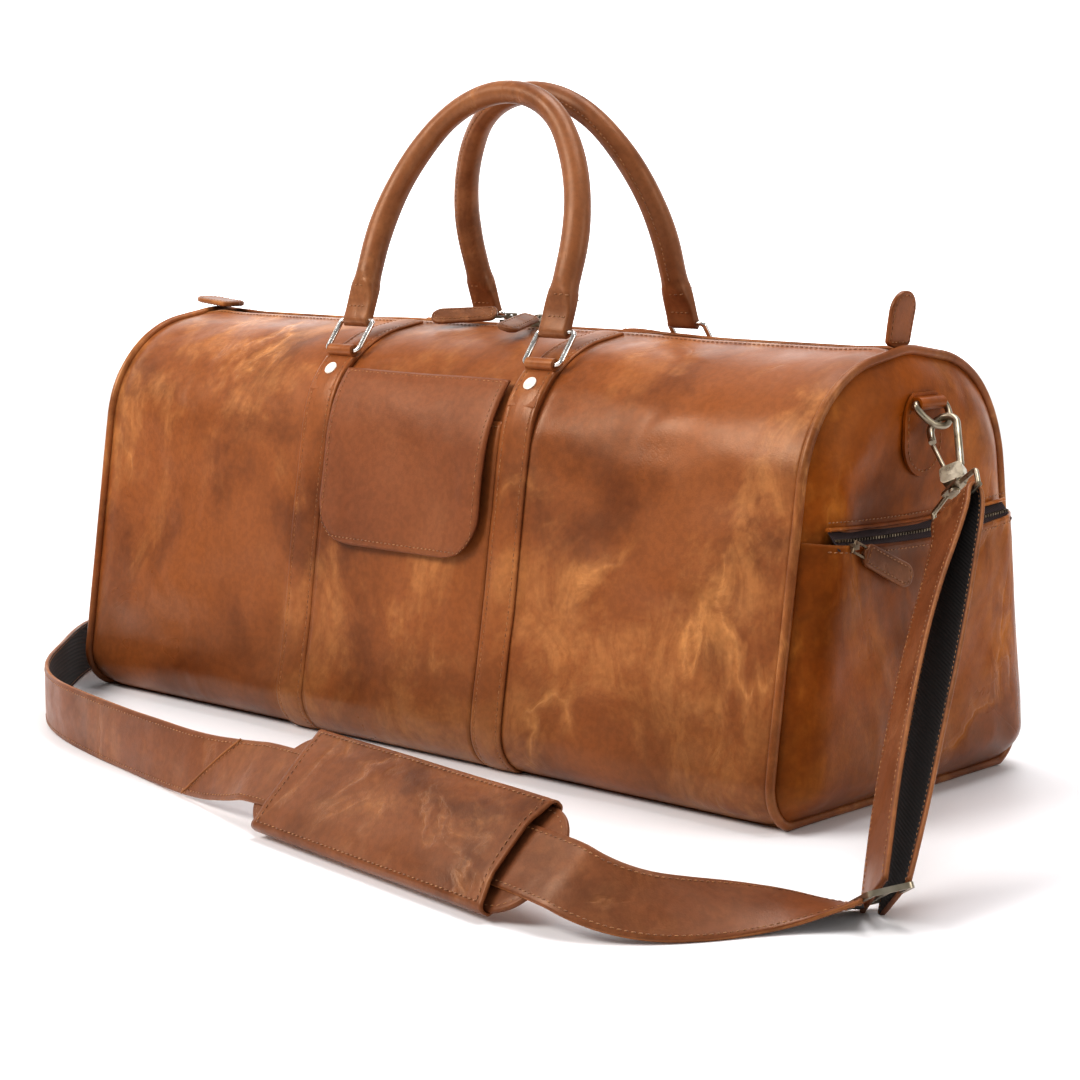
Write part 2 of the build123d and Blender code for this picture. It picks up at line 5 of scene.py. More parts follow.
import bpy
import numpy as np
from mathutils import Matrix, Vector


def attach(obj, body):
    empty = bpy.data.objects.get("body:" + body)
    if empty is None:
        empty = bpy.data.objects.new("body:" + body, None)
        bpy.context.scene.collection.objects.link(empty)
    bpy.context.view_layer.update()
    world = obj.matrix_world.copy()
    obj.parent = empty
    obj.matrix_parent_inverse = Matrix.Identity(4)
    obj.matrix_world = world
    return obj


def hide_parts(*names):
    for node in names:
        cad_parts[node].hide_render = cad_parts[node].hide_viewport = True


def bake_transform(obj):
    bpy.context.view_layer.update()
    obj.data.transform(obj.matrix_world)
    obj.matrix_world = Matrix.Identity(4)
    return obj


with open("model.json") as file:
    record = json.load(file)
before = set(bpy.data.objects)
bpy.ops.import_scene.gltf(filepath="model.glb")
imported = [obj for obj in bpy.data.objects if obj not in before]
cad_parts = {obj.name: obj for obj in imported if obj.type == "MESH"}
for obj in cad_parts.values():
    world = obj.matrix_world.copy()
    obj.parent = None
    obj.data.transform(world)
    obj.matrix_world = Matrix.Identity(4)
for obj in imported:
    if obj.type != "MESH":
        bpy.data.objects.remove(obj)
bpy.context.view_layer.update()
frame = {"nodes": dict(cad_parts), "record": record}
MM = 0.001
X_AXIS, Y_AXIS, Z_AXIS = np.eye(3)
random.seed(7)


def add_object(name, data):
    added = bpy.data.objects.new(name, data)
    bpy.context.collection.objects.link(added)
    return added


# ---- camera, floor and light
camera = add_object("camera", bpy.data.cameras.new("camera"))
camera.location = (1.1321, -1.2200, 0.3698)
camera.rotation_euler = (math.radians(81.57), 0, math.radians(42.42))
camera.data.lens = 84.15
camera.data.sensor_width = 36
camera.data.clip_start = 0.05
camera.data.clip_end = 50
bpy.context.scene.camera = camera


def shader(name, colour=(0.5, 0.5, 0.5), rough=0.5, metal=0.0):
    material = bpy.data.materials.new(name)
    material.use_nodes = True
    node = material.node_tree.nodes["Principled BSDF"]
    node.inputs["Base Color"].default_value = (*colour, 1)
    node.inputs["Roughness"].default_value = rough
    node.inputs["Metallic"].default_value = metal
    return material, node


def softbox(name, at, aim, size, watts, tint=(1, 1, 1)):
    lamp = bpy.data.lights.new(name, "AREA")
    lamp.shape = "RECTANGLE"
    lamp.size, lamp.size_y = size
    lamp.energy = watts
    lamp.color = tint
    holder = add_object(name, lamp)
    holder.location = at
    holder.rotation_euler = (Vector(aim) - Vector(at)).to_track_quat("-Z", "Y").to_euler()


def flat_stage(name, corners, material):
    mesh = bpy.data.meshes.new(name)
    mesh.from_pydata(corners, [], [tuple(range(len(corners)))])
    mesh.materials.append(material)
    add_object(name, mesh)


floor_look, _ = shader("floor_white", (0.93, 0.92, 0.93), 0.55)
flat_stage("floor", [(-9, -9, 0), (9, -9, 0), (9, 12, 0), (-9, 12, 0)], floor_look)
glow, glow_node = shader("backdrop_glow", (1, 1, 1))
glow_node.inputs["Emission Color"].default_value = (1, 1, 1, 1)
glow_node.inputs["Emission Strength"].default_value = 1.0
far, wide, tall = Vector((-2.0, 2.19, 0)), Vector((0.738, 0.675, 0)) * 4.5, Vector((0, 0, 2.4))
corners = (far - wide, far + wide, far + wide + tall, far - wide + tall)
flat_stage("backdrop", [tuple(corner) for corner in corners], glow)
softbox("key", (-0.75, -1.55, 1.55), (0, 0, 0.1), (1.3, 0.9), 45, (1.0, 0.99, 0.975))
softbox("top", (0.15, 0.30, 1.7), (0.05, 0, 0.2), (1.5, 0.7), 20, (1.0, 0.985, 1.0))
softbox("side", (1.9, 0.6, 0.9), (0.3, 0, 0.15), (0.7, 1.0), 9, (1.0, 0.98, 0.96))
bpy.context.scene.view_settings.view_transform = "Standard"
bpy.context.scene.view_settings.gamma = 0.88
world = bpy.data.worlds.new("studio")
world.use_nodes = True
world.node_tree.nodes["Background"].inputs[0].default_value = (1.0, 1.0, 1.0, 1)
world.node_tree.nodes["Background"].inputs[1].default_value = 0.37
bpy.context.scene.world = world


# ---- materials
class Graph:
    """Short helpers to lay out a node tree on a Principled shader."""

    def __init__(self, name, rough=0.5, metal=0.0, coords="Object"):
        self.material, self.bsdf = shader(name, rough=rough, metal=metal)
        self.tree = self.material.node_tree
        self.coords = self.add("ShaderNodeTexCoord").outputs[coords]

    def add(self, kind, **settings):
        node = self.tree.nodes.new(kind)
        for key, value in settings.items():
            setattr(node, key, value)
        return node

    def link(self, source, target):
        self.tree.links.new(source, target)

    def scaled(self, scale):
        node = self.add("ShaderNodeMapping")
        node.inputs["Scale"].default_value = scale
        self.link(self.coords, node.inputs["Vector"])
        return node.outputs["Vector"]

    def noise(self, scale, detail=3.0, rough=0.55, warp=0.0, stretch=(1, 1, 1)):
        node = self.add("ShaderNodeTexNoise")
        node.inputs["Scale"].default_value = scale
        node.inputs["Detail"].default_value = detail
        node.inputs["Roughness"].default_value = rough
        node.inputs["Distortion"].default_value = warp
        self.link(self.scaled(stretch), node.inputs["Vector"])
        return node.outputs["Fac"]

    def cells(self, scale):
        node = self.add("ShaderNodeTexVoronoi")
        node.inputs["Scale"].default_value = scale
        self.link(self.scaled((1, 1, 1)), node.inputs["Vector"])
        return node.outputs["Distance"]

    def ramp(self, value, stops):
        node = self.add("ShaderNodeValToRGB")
        node.color_ramp.interpolation = "EASE"
        while len(node.color_ramp.elements) < len(stops):
            node.color_ramp.elements.new(0.5)
        for element, (place, colour) in zip(node.color_ramp.elements, stops):
            element.position = place
            element.color = (*colour, 1) if hasattr(colour, "__len__") else (colour,) * 3 + (1,)
        self.link(value, node.inputs["Fac"])
        return node.outputs["Color"]

    def mix(self, first, second, share, blend="MIX"):
        node = self.add("ShaderNodeMix", data_type="RGBA", blend_type=blend)
        for value, socket in ((share, node.inputs[0]), (first, node.inputs[6]), (second, node.inputs[7])):
            if isinstance(value, bpy.types.NodeSocket):
                self.link(value, socket)
            elif hasattr(value, "__len__"):
                socket.default_value = (*value, 1)
            else:
                socket.default_value = value
        return node.outputs[2]

    def maths(self, kind, first, second=0.0):
        node = self.add("ShaderNodeMath", operation=kind)
        for value, socket in zip((first, second), node.inputs):
            if isinstance(value, bpy.types.NodeSocket):
                self.link(value, socket)
            else:
                socket.default_value = value
        return node.outputs[0]

    def height(self):
        node = self.add("ShaderNodeSeparateXYZ")
        self.link(self.coords, node.inputs[0])
        return node.outputs["Z"]

    def bumps(self, layers):
        """layers: (height value, strength, distance in metres), laid one on another."""
        normal = None
        for value, strength, reach in layers:
            node = self.add("ShaderNodeBump")
            node.inputs["Strength"].default_value = strength
            node.inputs["Distance"].default_value = reach
            self.link(value, node.inputs["Height"])
            if normal is not None:
                self.link(normal, node.inputs["Normal"])
            normal = node.outputs["Normal"]
        self.link(normal, self.bsdf.inputs["Normal"])

    def socket(self, name):
        return self.bsdf.inputs[name]


def leather(name, dark, middle, gold, patch=0.5, grain=1.0, rough=0.40, paint_floor_shade=False, size=1.0, coat=0.05,
            tint=(1.0, 0.70, 0.48)):
    """Waxed pull-up leather: cloudy lighter patches, pale creases, fine pores, uneven gloss; optionally
    painted shade darkening it towards the floor.
    """
    g = Graph(name)
    light = tuple(1.15 * c for c in middle)
    tone = g.ramp(g.noise(8.0 * size, 5.0, 0.6, 0.5), [(0.30, dark), (0.55, middle), (0.80, light)])
    smudge = g.ramp(g.noise(6.6 * size, 6.0, 0.66, 0.8), [(0.47, 0.0), (0.60, 0.55), (0.74, 1.0)])
    brushed = g.ramp(g.noise(34.0 * size, 6.0, 0.7, 1.8, (1.0, 1.0, 0.45)), [(0.34, 0.25), (0.64, 1.0)])
    colour = g.mix(tone, gold, g.maths("MULTIPLY", g.maths("MULTIPLY", smudge, brushed), patch))
    bend = g.noise(7.5 * size, 4.0, 0.58, 0.6, (1.0, 1.0, 0.8))
    bend = g.maths("ABSOLUTE", g.maths("SUBTRACT", bend, 0.5))
    crease = g.ramp(bend, [(0.0, 1.0), (0.016, 0.45), (0.045, 0.0)])
    where = g.ramp(g.noise(5.5 * size, 3.0, 0.6, 0.4), [(0.49, 0.0), (0.64, 1.0)])
    crease_share = g.maths("MULTIPLY", g.maths("MULTIPLY", crease, where), brushed)
    colour = g.mix(colour, gold, g.maths("MULTIPLY", crease_share, 0.9 * patch + 0.1))
    # Painted shade: with this flag the colour is darkened towards the floor, in uneven patches, standing in
    # for the shade low on the bag.
    if paint_floor_shade:
        low = g.ramp(g.height(), [(0.000, 0.75), (0.022, 0.9), (0.050, 0.62), (0.085, 0.0)])
        uneven = g.ramp(g.noise(7.0, 3.0, 0.55, 0.6, (1.0, 1.0, 0.4)), [(0.30, 0.35), (0.62, 1.0)])
        floor_shade_share = g.maths("MULTIPLY", g.maths("MULTIPLY", low, uneven), 0.55)
        colour = g.mix(colour, tuple(0.42 * c for c in dark), floor_shade_share)
    speck = g.ramp(g.noise(240.0, 2.0, 0.6), [(0.35, 0.90), (0.65, 1.04)])
    colour = g.mix(colour, speck, 1.0, "MULTIPLY")
    g.link(colour, g.socket("Base Color"))
    gloss = g.ramp(g.noise(13.0 * size, 4.0, 0.6, 0.4), [(0.30, rough - 0.08), (0.70, rough + 0.13)])
    g.link(gloss, g.socket("Roughness"))
    pores = g.cells(950.0)
    wrinkle = g.noise(120.0, 4.0, 0.6, 0.6)
    folds = g.maths("SUBTRACT", 1.0, crease_share)
    slack = g.noise(13.0 * size ** 0.5, 2.0, 0.5, 0.8, (1.0, 1.0, 0.7))
    g.bumps([(slack, 0.55, 0.0065 / size), (folds, 0.34, 0.0014),
             (wrinkle, 0.10 * grain, 0.0006), (pores, 0.16 * grain, 0.00025)])
    g.socket("Specular IOR Level").default_value = 0.42
    g.socket("Coat Weight").default_value = coat
    g.socket("Coat Roughness").default_value = 0.28
    g.socket("Specular Tint").default_value = (*tint, 1)
    return g.material


def metal(name, light, dark, rough, wear=0.35):
    g = Graph(name, metal=1.0)
    age = g.noise(70.0, 3.0, 0.5, 0.3)
    g.link(g.ramp(age, [(0.35, dark), (0.35 + wear, light)]), g.socket("Base Color"))
    g.link(g.ramp(g.noise(320.0, 3.0), [(0.3, rough), (0.7, rough + 0.14)]), g.socket("Roughness"))
    g.bumps([(g.noise(900.0, 2.0), 0.05, 0.0001)])
    return g.material


def cloth(name, colour, light, pitch):
    """Woven tape or twill: fine cross ribs."""
    g = Graph(name, rough=0.85)
    node = g.add("ShaderNodeTexWave", wave_type="BANDS", bands_direction="DIAGONAL")
    node.inputs["Scale"].default_value = pitch
    node.inputs["Distortion"].default_value = 0.4
    g.link(g.coords, node.inputs["Vector"])
    rib = node.outputs["Fac"]
    tint = g.mix(colour, light, rib)
    speck = g.ramp(g.noise(300.0), [(0.3, 0.75), (0.7, 1.1)])
    g.link(g.mix(tint, speck, 1.0, "MULTIPLY"), g.socket("Base Color"))
    g.bumps([(rib, 0.5, 0.0004)])
    g.socket("Sheen Weight").default_value = 0.04
    return g.material


def thread(name, colour, light):
    g = Graph(name, rough=0.6)
    g.link(g.ramp(g.noise(420.0, 2.0), [(0.35, colour), (0.65, light)]), g.socket("Base Color"))
    g.bumps([(g.noise(2600.0, 1.0), 0.4, 0.0002)])
    g.socket("Sheen Weight").default_value = 0.15
    return g.material


LOOK = {
    "body_leather": leather("body_leather_look", (0.132, 0.034, 0.0085), (0.275, 0.082, 0.0210),
                            (0.64, 0.28, 0.090), 0.74, 1.0, 0.35, True),
    "end_leather": leather("end_leather_look", (0.130, 0.028, 0.0030), (0.330, 0.080, 0.0060),
                           (0.58, 0.21, 0.034), 0.58, 1.0, 0.34, True, coat=0.0, tint=(1.0, 0.52, 0.22)),
    "flap_leather": leather("flap_leather_look", (0.175, 0.050, 0.017), (0.240, 0.073, 0.025),
                            (0.34, 0.13, 0.048), 0.40, 1.2, 0.42),
    "handle_leather": leather("handle_leather_look", (0.165, 0.054, 0.019), (0.250, 0.090, 0.033),
                              (0.42, 0.18, 0.070), 0.55, 0.9, 0.36, size=2.0),
    "pull_leather": leather("pull_leather_look", (0.125, 0.040, 0.015), (0.185, 0.064, 0.023),
                            (0.34, 0.14, 0.055), 0.5, 1.1, 0.42, size=4.0),
    "strap_leather": leather("strap_leather_look", (0.118, 0.034, 0.012), (0.185, 0.057, 0.020),
                             (0.36, 0.145, 0.054), 0.45, 1.0, 0.40, size=1.6),
    "rope_core": cloth("rope_look", (0.55, 0.50, 0.42), (0.75, 0.70, 0.6), 300),
    "lining_cloth": cloth("lining_look", (0.035, 0.025, 0.02), (0.07, 0.05, 0.04), 260),
    "base_board": shader("board_look", (0.05, 0.05, 0.05), 0.8)[0],
    "zip_tape": cloth("tape_look", (0.020, 0.009, 0.009), (0.050, 0.024, 0.026), 420),
    "zip_metal": metal("zip_metal_look", (0.40, 0.32, 0.22), (0.10, 0.075, 0.05), 0.30, 0.4),
    "snap_metal": metal("snap_metal_look", (0.62, 0.60, 0.57), (0.42, 0.40, 0.38), 0.28),
    "ring_metal": metal("ring_metal_look", (0.86, 0.83, 0.79), (0.62, 0.59, 0.55), 0.12),
    "hook_metal": metal("hook_metal_look", (0.56, 0.50, 0.40), (0.33, 0.28, 0.20), 0.27, 0.5),
}
RIVET = metal("rivet_look", (0.95, 0.90, 0.84), (0.75, 0.69, 0.61), 0.40)
THREAD = thread("thread_look", (0.20, 0.070, 0.020), (0.46, 0.20, 0.060))
EDGE = leather("edge_look", (0.17, 0.058, 0.020), (0.29, 0.105, 0.034),
               (0.45, 0.19, 0.07), 0.4, 1.4, 0.5, size=3.0, coat=0.0)
POCKET = leather("end_pocket_look", (0.085, 0.018, 0.0020), (0.225, 0.050, 0.0040),
                 (0.50, 0.17, 0.026), 0.62, 1.0, 0.34, True, coat=0.0, tint=(1.0, 0.52, 0.22))
SLEEVE = leather("sleeve_look", (0.105, 0.029, 0.009), (0.195, 0.060, 0.019),
                 (0.40, 0.165, 0.058), 0.50, 1.0, 0.36, size=1.5)
BACKING = cloth("strap_backing_look", (0.010, 0.006, 0.005), (0.030, 0.018, 0.014), 230)


# ---- mesh helpers
def add_mesh(name, verts, faces, slot, body=None, replaces=(), look=None, smooth=True):
    """A mesh given in mm as a piece in metres, in its slot's finish unless another look is given."""
    mesh = bpy.data.meshes.new(name)
    places = (np.asarray(verts, float) * MM).tolist()
    mesh.from_pydata(places, [], [tuple(int(i) for i in f) for f in faces])
    mesh.validate()
    mesh.update()
    mesh.polygons.foreach_set("use_smooth", [smooth] * len(mesh.polygons))
    for material in look or [LOOK[slot]]:
        mesh.materials.append(material)
    piece = add_object(name, mesh)
    if body:
        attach(piece, body)
    if replaces:
        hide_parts(*replaces)
    return piece


def grid_faces(rows, cols, offset=0, wrap_cols=False, flip=False):
    faces = []
    for r in range(rows - 1):
        for c in range(cols if wrap_cols else cols - 1):
            a, b = r * cols + c, r * cols + (c + 1) % cols
            d, e = a + cols, b + cols
            quad = (a, b, e, d) if not flip else (a, d, e, b)
            faces.append(tuple(offset + i for i in quad))
    return faces


def shell(front, back):
    """Closed solid between two grids of the same shape (rows, cols, 3), their rims joined by a band of faces.
    """
    rows, cols = front.shape[:2]
    verts = np.concatenate([front.reshape(-1, 3), back.reshape(-1, 3)])
    n = rows * cols
    faces = grid_faces(rows, cols) + grid_faces(rows, cols, n, flip=True)
    rim = [(0, c) for c in range(cols)] + [(r, cols - 1) for r in range(1, rows)]
    rim += [(rows - 1, c) for c in range(cols - 2, -1, -1)] + [(r, 0) for r in range(rows - 2, 0, -1)]
    ids = [r * cols + c for r, c in rim]
    for k, i in enumerate(ids):
        j = ids[(k + 1) % len(ids)]
        faces.append((j, i, i + n, j + n))
    return verts, faces


def distances(line):
    """Distance of each point of a line of points from its start."""
    return np.concatenate([[0], np.cumsum(np.linalg.norm(np.diff(line, axis=0), axis=1))])


def along(line, run, at):
    """Points at distances along a line of points, by its distances."""
    return np.stack([np.interp(at, run, line[:, i]) for i in range(3)], -1)


def smoothstep(t):
    t = np.clip(t, 0, 1)
    return t * t * (3 - 2 * t)


WAVE_SPANS = ((0, math.tau), (0, math.tau), (0.6, 1.6))
WAVES = [tuple(random.uniform(*span) for span in WAVE_SPANS) for _ in range(14)]


def ripple(u, v, wavelength):
    """Smooth random field in about -1..1 over two lengths in mm."""
    total = 0
    for turn, phase, pace in WAVES:
        k = math.tau * pace / wavelength
        total = total + np.sin(k * (u * math.cos(turn) + v * math.sin(turn)) + phase)
    return total / math.sqrt(len(WAVES)) / 1.4


# ---- the bag's section
BASE, SHOULDER, RIDGE = (131.3, 0.0), (93.6, 252.2), (0.0, 267.0)


def filleted(corners, radii, step=1.5):
    """Closed outline with rounded corners, as evenly spaced points (y, z)."""
    points, count = [], len(corners)
    for i in range(count):
        p, a, b = (np.array(corners[k % count], float) for k in (i, i - 1, i + 1))
        ua, ub = (a - p) / np.linalg.norm(a - p), (b - p) / np.linalg.norm(b - p)
        half = math.acos(np.clip(ua @ ub, -1, 1)) / 2
        reach = radii[i] / math.tan(half)
        middle = p + (ua + ub) / np.linalg.norm(ua + ub) * radii[i] / math.sin(half)
        start, end = p + ua * reach - middle, p + ub * reach - middle
        sweep = math.pi - 2 * half
        turns = max(3, int(radii[i] * sweep / step))
        for k in range(turns + 1):
            t = k / turns
            w0, w1 = math.sin((1 - t) * sweep) / math.sin(sweep), math.sin(t * sweep) / math.sin(sweep)
            points.append(middle + start * w0 + end * w1)
    return np.array(points)


LOOP = filleted([BASE, SHOULDER, RIDGE, (-SHOULDER[0], SHOULDER[1]), (-BASE[0], 0.0)], [27, 80, 60, 80, 27])
LOOP = np.concatenate([[[0.0, 0.0]], LOOP, [[0.0, 0.0]]])
LOOP_S = distances(LOOP)
LOOP_LENGTH = LOOP_S[-1]
HALF_S = LOOP_LENGTH / 2
BODY_HALF, BASE_HALF = 302, 106.5


def outline(s):
    """Point (y, z) and outward normal at distance s, from the base's middle up the back and over."""
    s = np.asarray(s, float)
    y, z = np.interp(s, LOOP_S, LOOP[:, 0]), np.interp(s, LOOP_S, LOOP[:, 1])
    e = 3.0
    dy = np.interp(s + e, LOOP_S, LOOP[:, 0]) - np.interp(s - e, LOOP_S, LOOP[:, 0])
    dz = np.interp(s + e, LOOP_S, LOOP[:, 1]) - np.interp(s - e, LOOP_S, LOOP[:, 1])
    length = np.hypot(dy, dz) + 1e-9
    return y, z, dz / length, -dy / length


def s_front(y=None, z=None):
    """Distance along the section of the point on the front half at that height, or that y near the top."""
    s = np.linspace(HALF_S, LOOP_LENGTH, 3000)
    yy, zz, _, _ = outline(s)
    pick = np.abs(zz - z) if z is not None else np.where(zz > 150, np.abs(yy - y), 1e9)
    return float(s[np.argmin(pick)])


def softness(x, s):
    """How far the leather stands off its pattern: pinched seams, slack between, in mm."""
    y, z, _, _ = outline(s)
    seam = 1.9 * np.exp(-((BODY_HALF - np.abs(x)) / 9.0) ** 2)
    free = smoothstep((300 - np.abs(x)) / 40) * smoothstep((z - 4) / 40)
    side = smoothstep((252 - z) / 50)
    around = np.where(np.abs(x) > 103, 1.0, 0.35)
    slack = 2.0 * ripple(x, s, 150.0) + 0.8 * ripple(x + 40, s * 1.3, 66.0)
    sag = -1.6 * smoothstep((z - 225) / 30) * smoothstep((np.abs(x) - 110) / 60)
    return -seam + free * (side * slack * around + sag)


def on_bag(x, s, lift=0.0):
    """Points at (x, distance along the section), lifted off the leather. Arrays of one shape."""
    x, s = np.broadcast_arrays(np.asarray(x, float), np.asarray(s, float))
    y, z, ny, nz = outline(s)
    off = softness(x, s) + lift
    spot = np.stack([x, y + ny * off, z + nz * off], -1)
    spot[..., 2] = np.maximum(spot[..., 2], 0.05)
    return spot


def lay(x0, x1, s0, s1, low, high, step=3.0, bow=None):
    """Closed layer of leather on the bag over a rectangle of (x, s)."""
    cols, rows = max(3, int((x1 - x0) / step)), max(3, int(abs(s1 - s0) / step))
    x, s = np.meshgrid(np.linspace(x0, x1, cols), np.linspace(s0, s1, rows))
    extra = bow(x, s) if bow else 0
    return shell(on_bag(x, s, high + extra), on_bag(x, s, low))


STITCH_SHAPE = [(-1, 0, 0), (-0.55, -1, 0.35), (-0.55, 1, 0.35), (-0.55, 0, 1),
                (0.55, -1, 0.35), (0.55, 1, 0.35), (0.55, 0, 1), (1, 0, 0)]
STITCH_FACES = [(0, 1, 3), (0, 3, 2), (1, 4, 6, 3), (3, 6, 5, 2), (4, 7, 6), (6, 7, 5), (0, 2, 5, 7, 4, 1)]


def stitch_line(line, up, pitch=3.5, length=2.6, width=0.36, height=0.5, slant=0.12):
    """Thread stitches along a line of points, with one outward direction or one for each point."""
    line = np.asarray(line, float)
    up = np.broadcast_to(np.asarray(up, float), line.shape)
    run = distances(line)
    count = int(run[-1] / pitch)
    verts, faces = [], []
    for k in range(count):
        at = (k + 0.5) * run[-1] / count
        spot, out = along(line, run, at), along(up, run, at)
        ahead = along(line, run, at + 1.0) - along(line, run, at - 1.0)
        ahead = ahead / (np.linalg.norm(ahead) + 1e-9)
        out = out - ahead * (out @ ahead)
        out = out / (np.linalg.norm(out) + 1e-9)
        side = np.cross(out, ahead)
        c, s = math.cos(slant), math.sin(slant)
        ahead, side = ahead * c + side * s, side * c - ahead * s
        base = len(verts)
        for x, y, z in STITCH_SHAPE:
            verts.append(spot + ahead * x * length / 2 + side * y * width + out * (z * height - 0.1))
        faces += [tuple(base + i for i in f) for f in STITCH_FACES]
    return verts, faces


def gather(parts):
    verts, faces = [], []
    for v, f in parts:
        base = len(verts)
        verts += [tuple(p) for p in v]
        faces += [tuple(base + i for i in face) for face in f]
    return verts, faces


def add_stitches(name, lines, slot, body=None):
    return add_mesh(name, *gather(lines), slot, body, look=[THREAD])


def bag_stitches(x, s, lift, **kind):
    x, s = np.broadcast_arrays(np.asarray(x, float), np.asarray(s, float))
    points = on_bag(x, s, lift)
    _, _, ny, nz = outline(s)
    return stitch_line(points, np.stack([0 * ny, ny, nz], -1), **kind)


def frame_at(origin, along, normal):
    """Origin, and axes along, side and normal as rows."""
    a = Vector(along).normalized()
    n = Vector(normal)
    n = (n - a * n.dot(a)).normalized()
    side = n.cross(a)
    return np.array(origin, float), np.array([list(a), list(side), list(n)])


def placed(points, origin, axes):
    return np.asarray(points, float) @ axes + origin


def tube(line, radius, sides=14, squash=1.0):
    """Round tube along a line of points, its ends closed flat."""
    line = np.asarray(line, float)
    ahead = np.gradient(line, axis=0)
    ahead /= np.linalg.norm(ahead, axis=1)[:, None]
    hint = np.array([1.0, 0.0, 0.0])
    if abs(ahead[0] @ hint) > 0.8:
        hint = np.array([0.0, 0.0, 1.0])
    rings = []
    for spot, direction in zip(line, ahead):
        side = hint - direction * (hint @ direction)
        side /= np.linalg.norm(side)
        up = np.cross(direction, side)
        hint = side
        turn = np.linspace(0, math.tau, sides, endpoint=False)[:, None]
        rings.append(spot + radius * (np.cos(turn) * side + squash * np.sin(turn) * up))
    verts = np.array(rings)
    faces = grid_faces(len(line), sides, wrap_cols=True)
    faces += [tuple(range(sides))[::-1], tuple((len(line) - 1) * sides + i for i in range(sides))]
    return verts.reshape(-1, 3), faces


# ---- shoulder strap, laid along its route
STRAP_RUN = [
    ((-0.3525, -0.0170, 0.1752), (-0.30, 0.95, -0.16)), ((-0.3599, -0.0200, 0.1700), (-0.30, 0.95, -0.16)),
    ((-0.3590, -0.0180, 0.1300), (-0.28, 0.94, 0.0)), ((-0.3570, -0.0100, 0.0850), (-0.20, 0.90, 0.30)),
    ((-0.3570, -0.0120, 0.0450), (0.0, 0.70, 0.70)), ((-0.3590, -0.0300, 0.0240), (0.0, 0.25, 0.97)),
    ((-0.3620, -0.0600, 0.0196), (0.0, 0.0, 1.0)), ((-0.3540, -0.0880, 0.0193), (0.0, 0.0, 1.0)),
    ((-0.3360, -0.1120, 0.0193), (0.0, 0.0, 1.0)),
    ((-0.3030, -0.1490, 0.0192), (0.0, 0.0, 1.0)), ((-0.2520, -0.2040, 0.0192), (0.0, 0.0, 1.0)),
    ((-0.2030, -0.2360, 0.0192), (0.0, 0.0, 1.0)), ((-0.1390, -0.2550, 0.0192), (0.0, 0.05, 1.0)),
    ((-0.0660, -0.2700, 0.0192), (0.01, 0.16, 0.99)), ((0.0020, -0.2830, 0.0195), (0.04, 0.32, 0.95)),
    ((0.0460, -0.2896, 0.0250), (0.07, 0.52, 0.85)), ((0.0750, -0.2937, 0.0305), (0.102, 0.70, 0.707)),
    ((0.3250, -0.3303, 0.0305), (0.102, 0.70, 0.707)), ((0.3510, -0.3280, 0.0220), (0.0, 0.72, 0.69)),
    ((0.3720, -0.3140, 0.0155), (-0.25, 0.70, 0.67)), ((0.3870, -0.2930, 0.0125), (-0.55, 0.54, 0.62)),
    ((0.3980, -0.2680, 0.0102), (-0.74, 0.44, 0.44)), ((0.4100, -0.2450, 0.0084), (-0.80, 0.46, 0.15)),
    ((0.4260, -0.2280, 0.0076), (-0.74, 0.56, -0.22)),
    ((0.4360, -0.2210, 0.0090), (-0.72, 0.55, -0.38)),
]
STRAP_LOOP = [
    ((0.4400, -0.2185, 0.0135), (-0.68, 0.48, -0.55)), ((0.4345, -0.2085, 0.0245), (-0.66, 0.40, -0.64)),
    ((0.4128, -0.1669, 0.0662), (-0.64, 0.34, -0.68)), ((0.3852, -0.1026, 0.1259), (-0.64, 0.34, -0.68)),
    ((0.3672, -0.0457, 0.1731), (-0.70, 0.20, -0.67)), ((0.3598, -0.0358, 0.1832), (-0.723, 0.130, -0.664)),
    ((0.3599, -0.0295, 0.1843), (-0.723, 0.130, -0.664)),
    ((0.3643, -0.0288, 0.1797), (-0.723, 0.130, -0.664)),
    ((0.3717, -0.0387, 0.1696), (-0.74, 0.15, -0.65)), ((0.3942, -0.0906, 0.1177), (-0.80, 0.19, -0.57)),
    ((0.4218, -0.1549, 0.0580), (-0.78, 0.24, -0.58)), ((0.4400, -0.1960, 0.0220), (-0.74, 0.40, -0.53)),
    ((0.4460, -0.2095, 0.0110), (-0.72, 0.48, -0.50)),
]


def spline_points(controls):
    curve = bpy.data.curves.new("route", "CURVE")
    curve.dimensions = "3D"
    spline = curve.splines.new("NURBS")
    spline.points.add(len(controls) - 1)
    for point, place in zip(spline.points, controls):
        point.co = (*place, 1)
    spline.order_u = 3
    spline.use_endpoint_u = True
    spline.resolution_u = 24
    holder = add_object("route", curve)
    bpy.context.view_layer.update()
    mesh = bpy.data.meshes.new_from_object(holder)
    found = np.array([tuple(v.co) for v in mesh.vertices])
    bpy.data.objects.remove(holder)
    bpy.data.curves.remove(curve)
    bpy.data.meshes.remove(mesh)
    return found


def strap_line(route, step=0.003):
    """Even samples of a strap's centre line with its tangent, width and face directions, in metres."""
    points = np.array([p for p, _ in route])
    edge = np.array([np.array(u) / np.linalg.norm(u) for _, u in route])
    centre = spline_points(points)
    side = spline_points(points + 0.01 * edge) - centre
    run = distances(centre)
    count = int(run[-1] / step) + 1
    at = np.linspace(0, run[-1], count)
    centre, side = along(centre, run, at), along(side, run, at)
    ahead = np.gradient(centre, axis=0)
    ahead /= np.linalg.norm(ahead, axis=1)[:, None]
    side -= ahead * (side * ahead).sum(1)[:, None]
    side /= np.linalg.norm(side, axis=1)[:, None]
    return at, centre, ahead, side, np.cross(ahead, side)


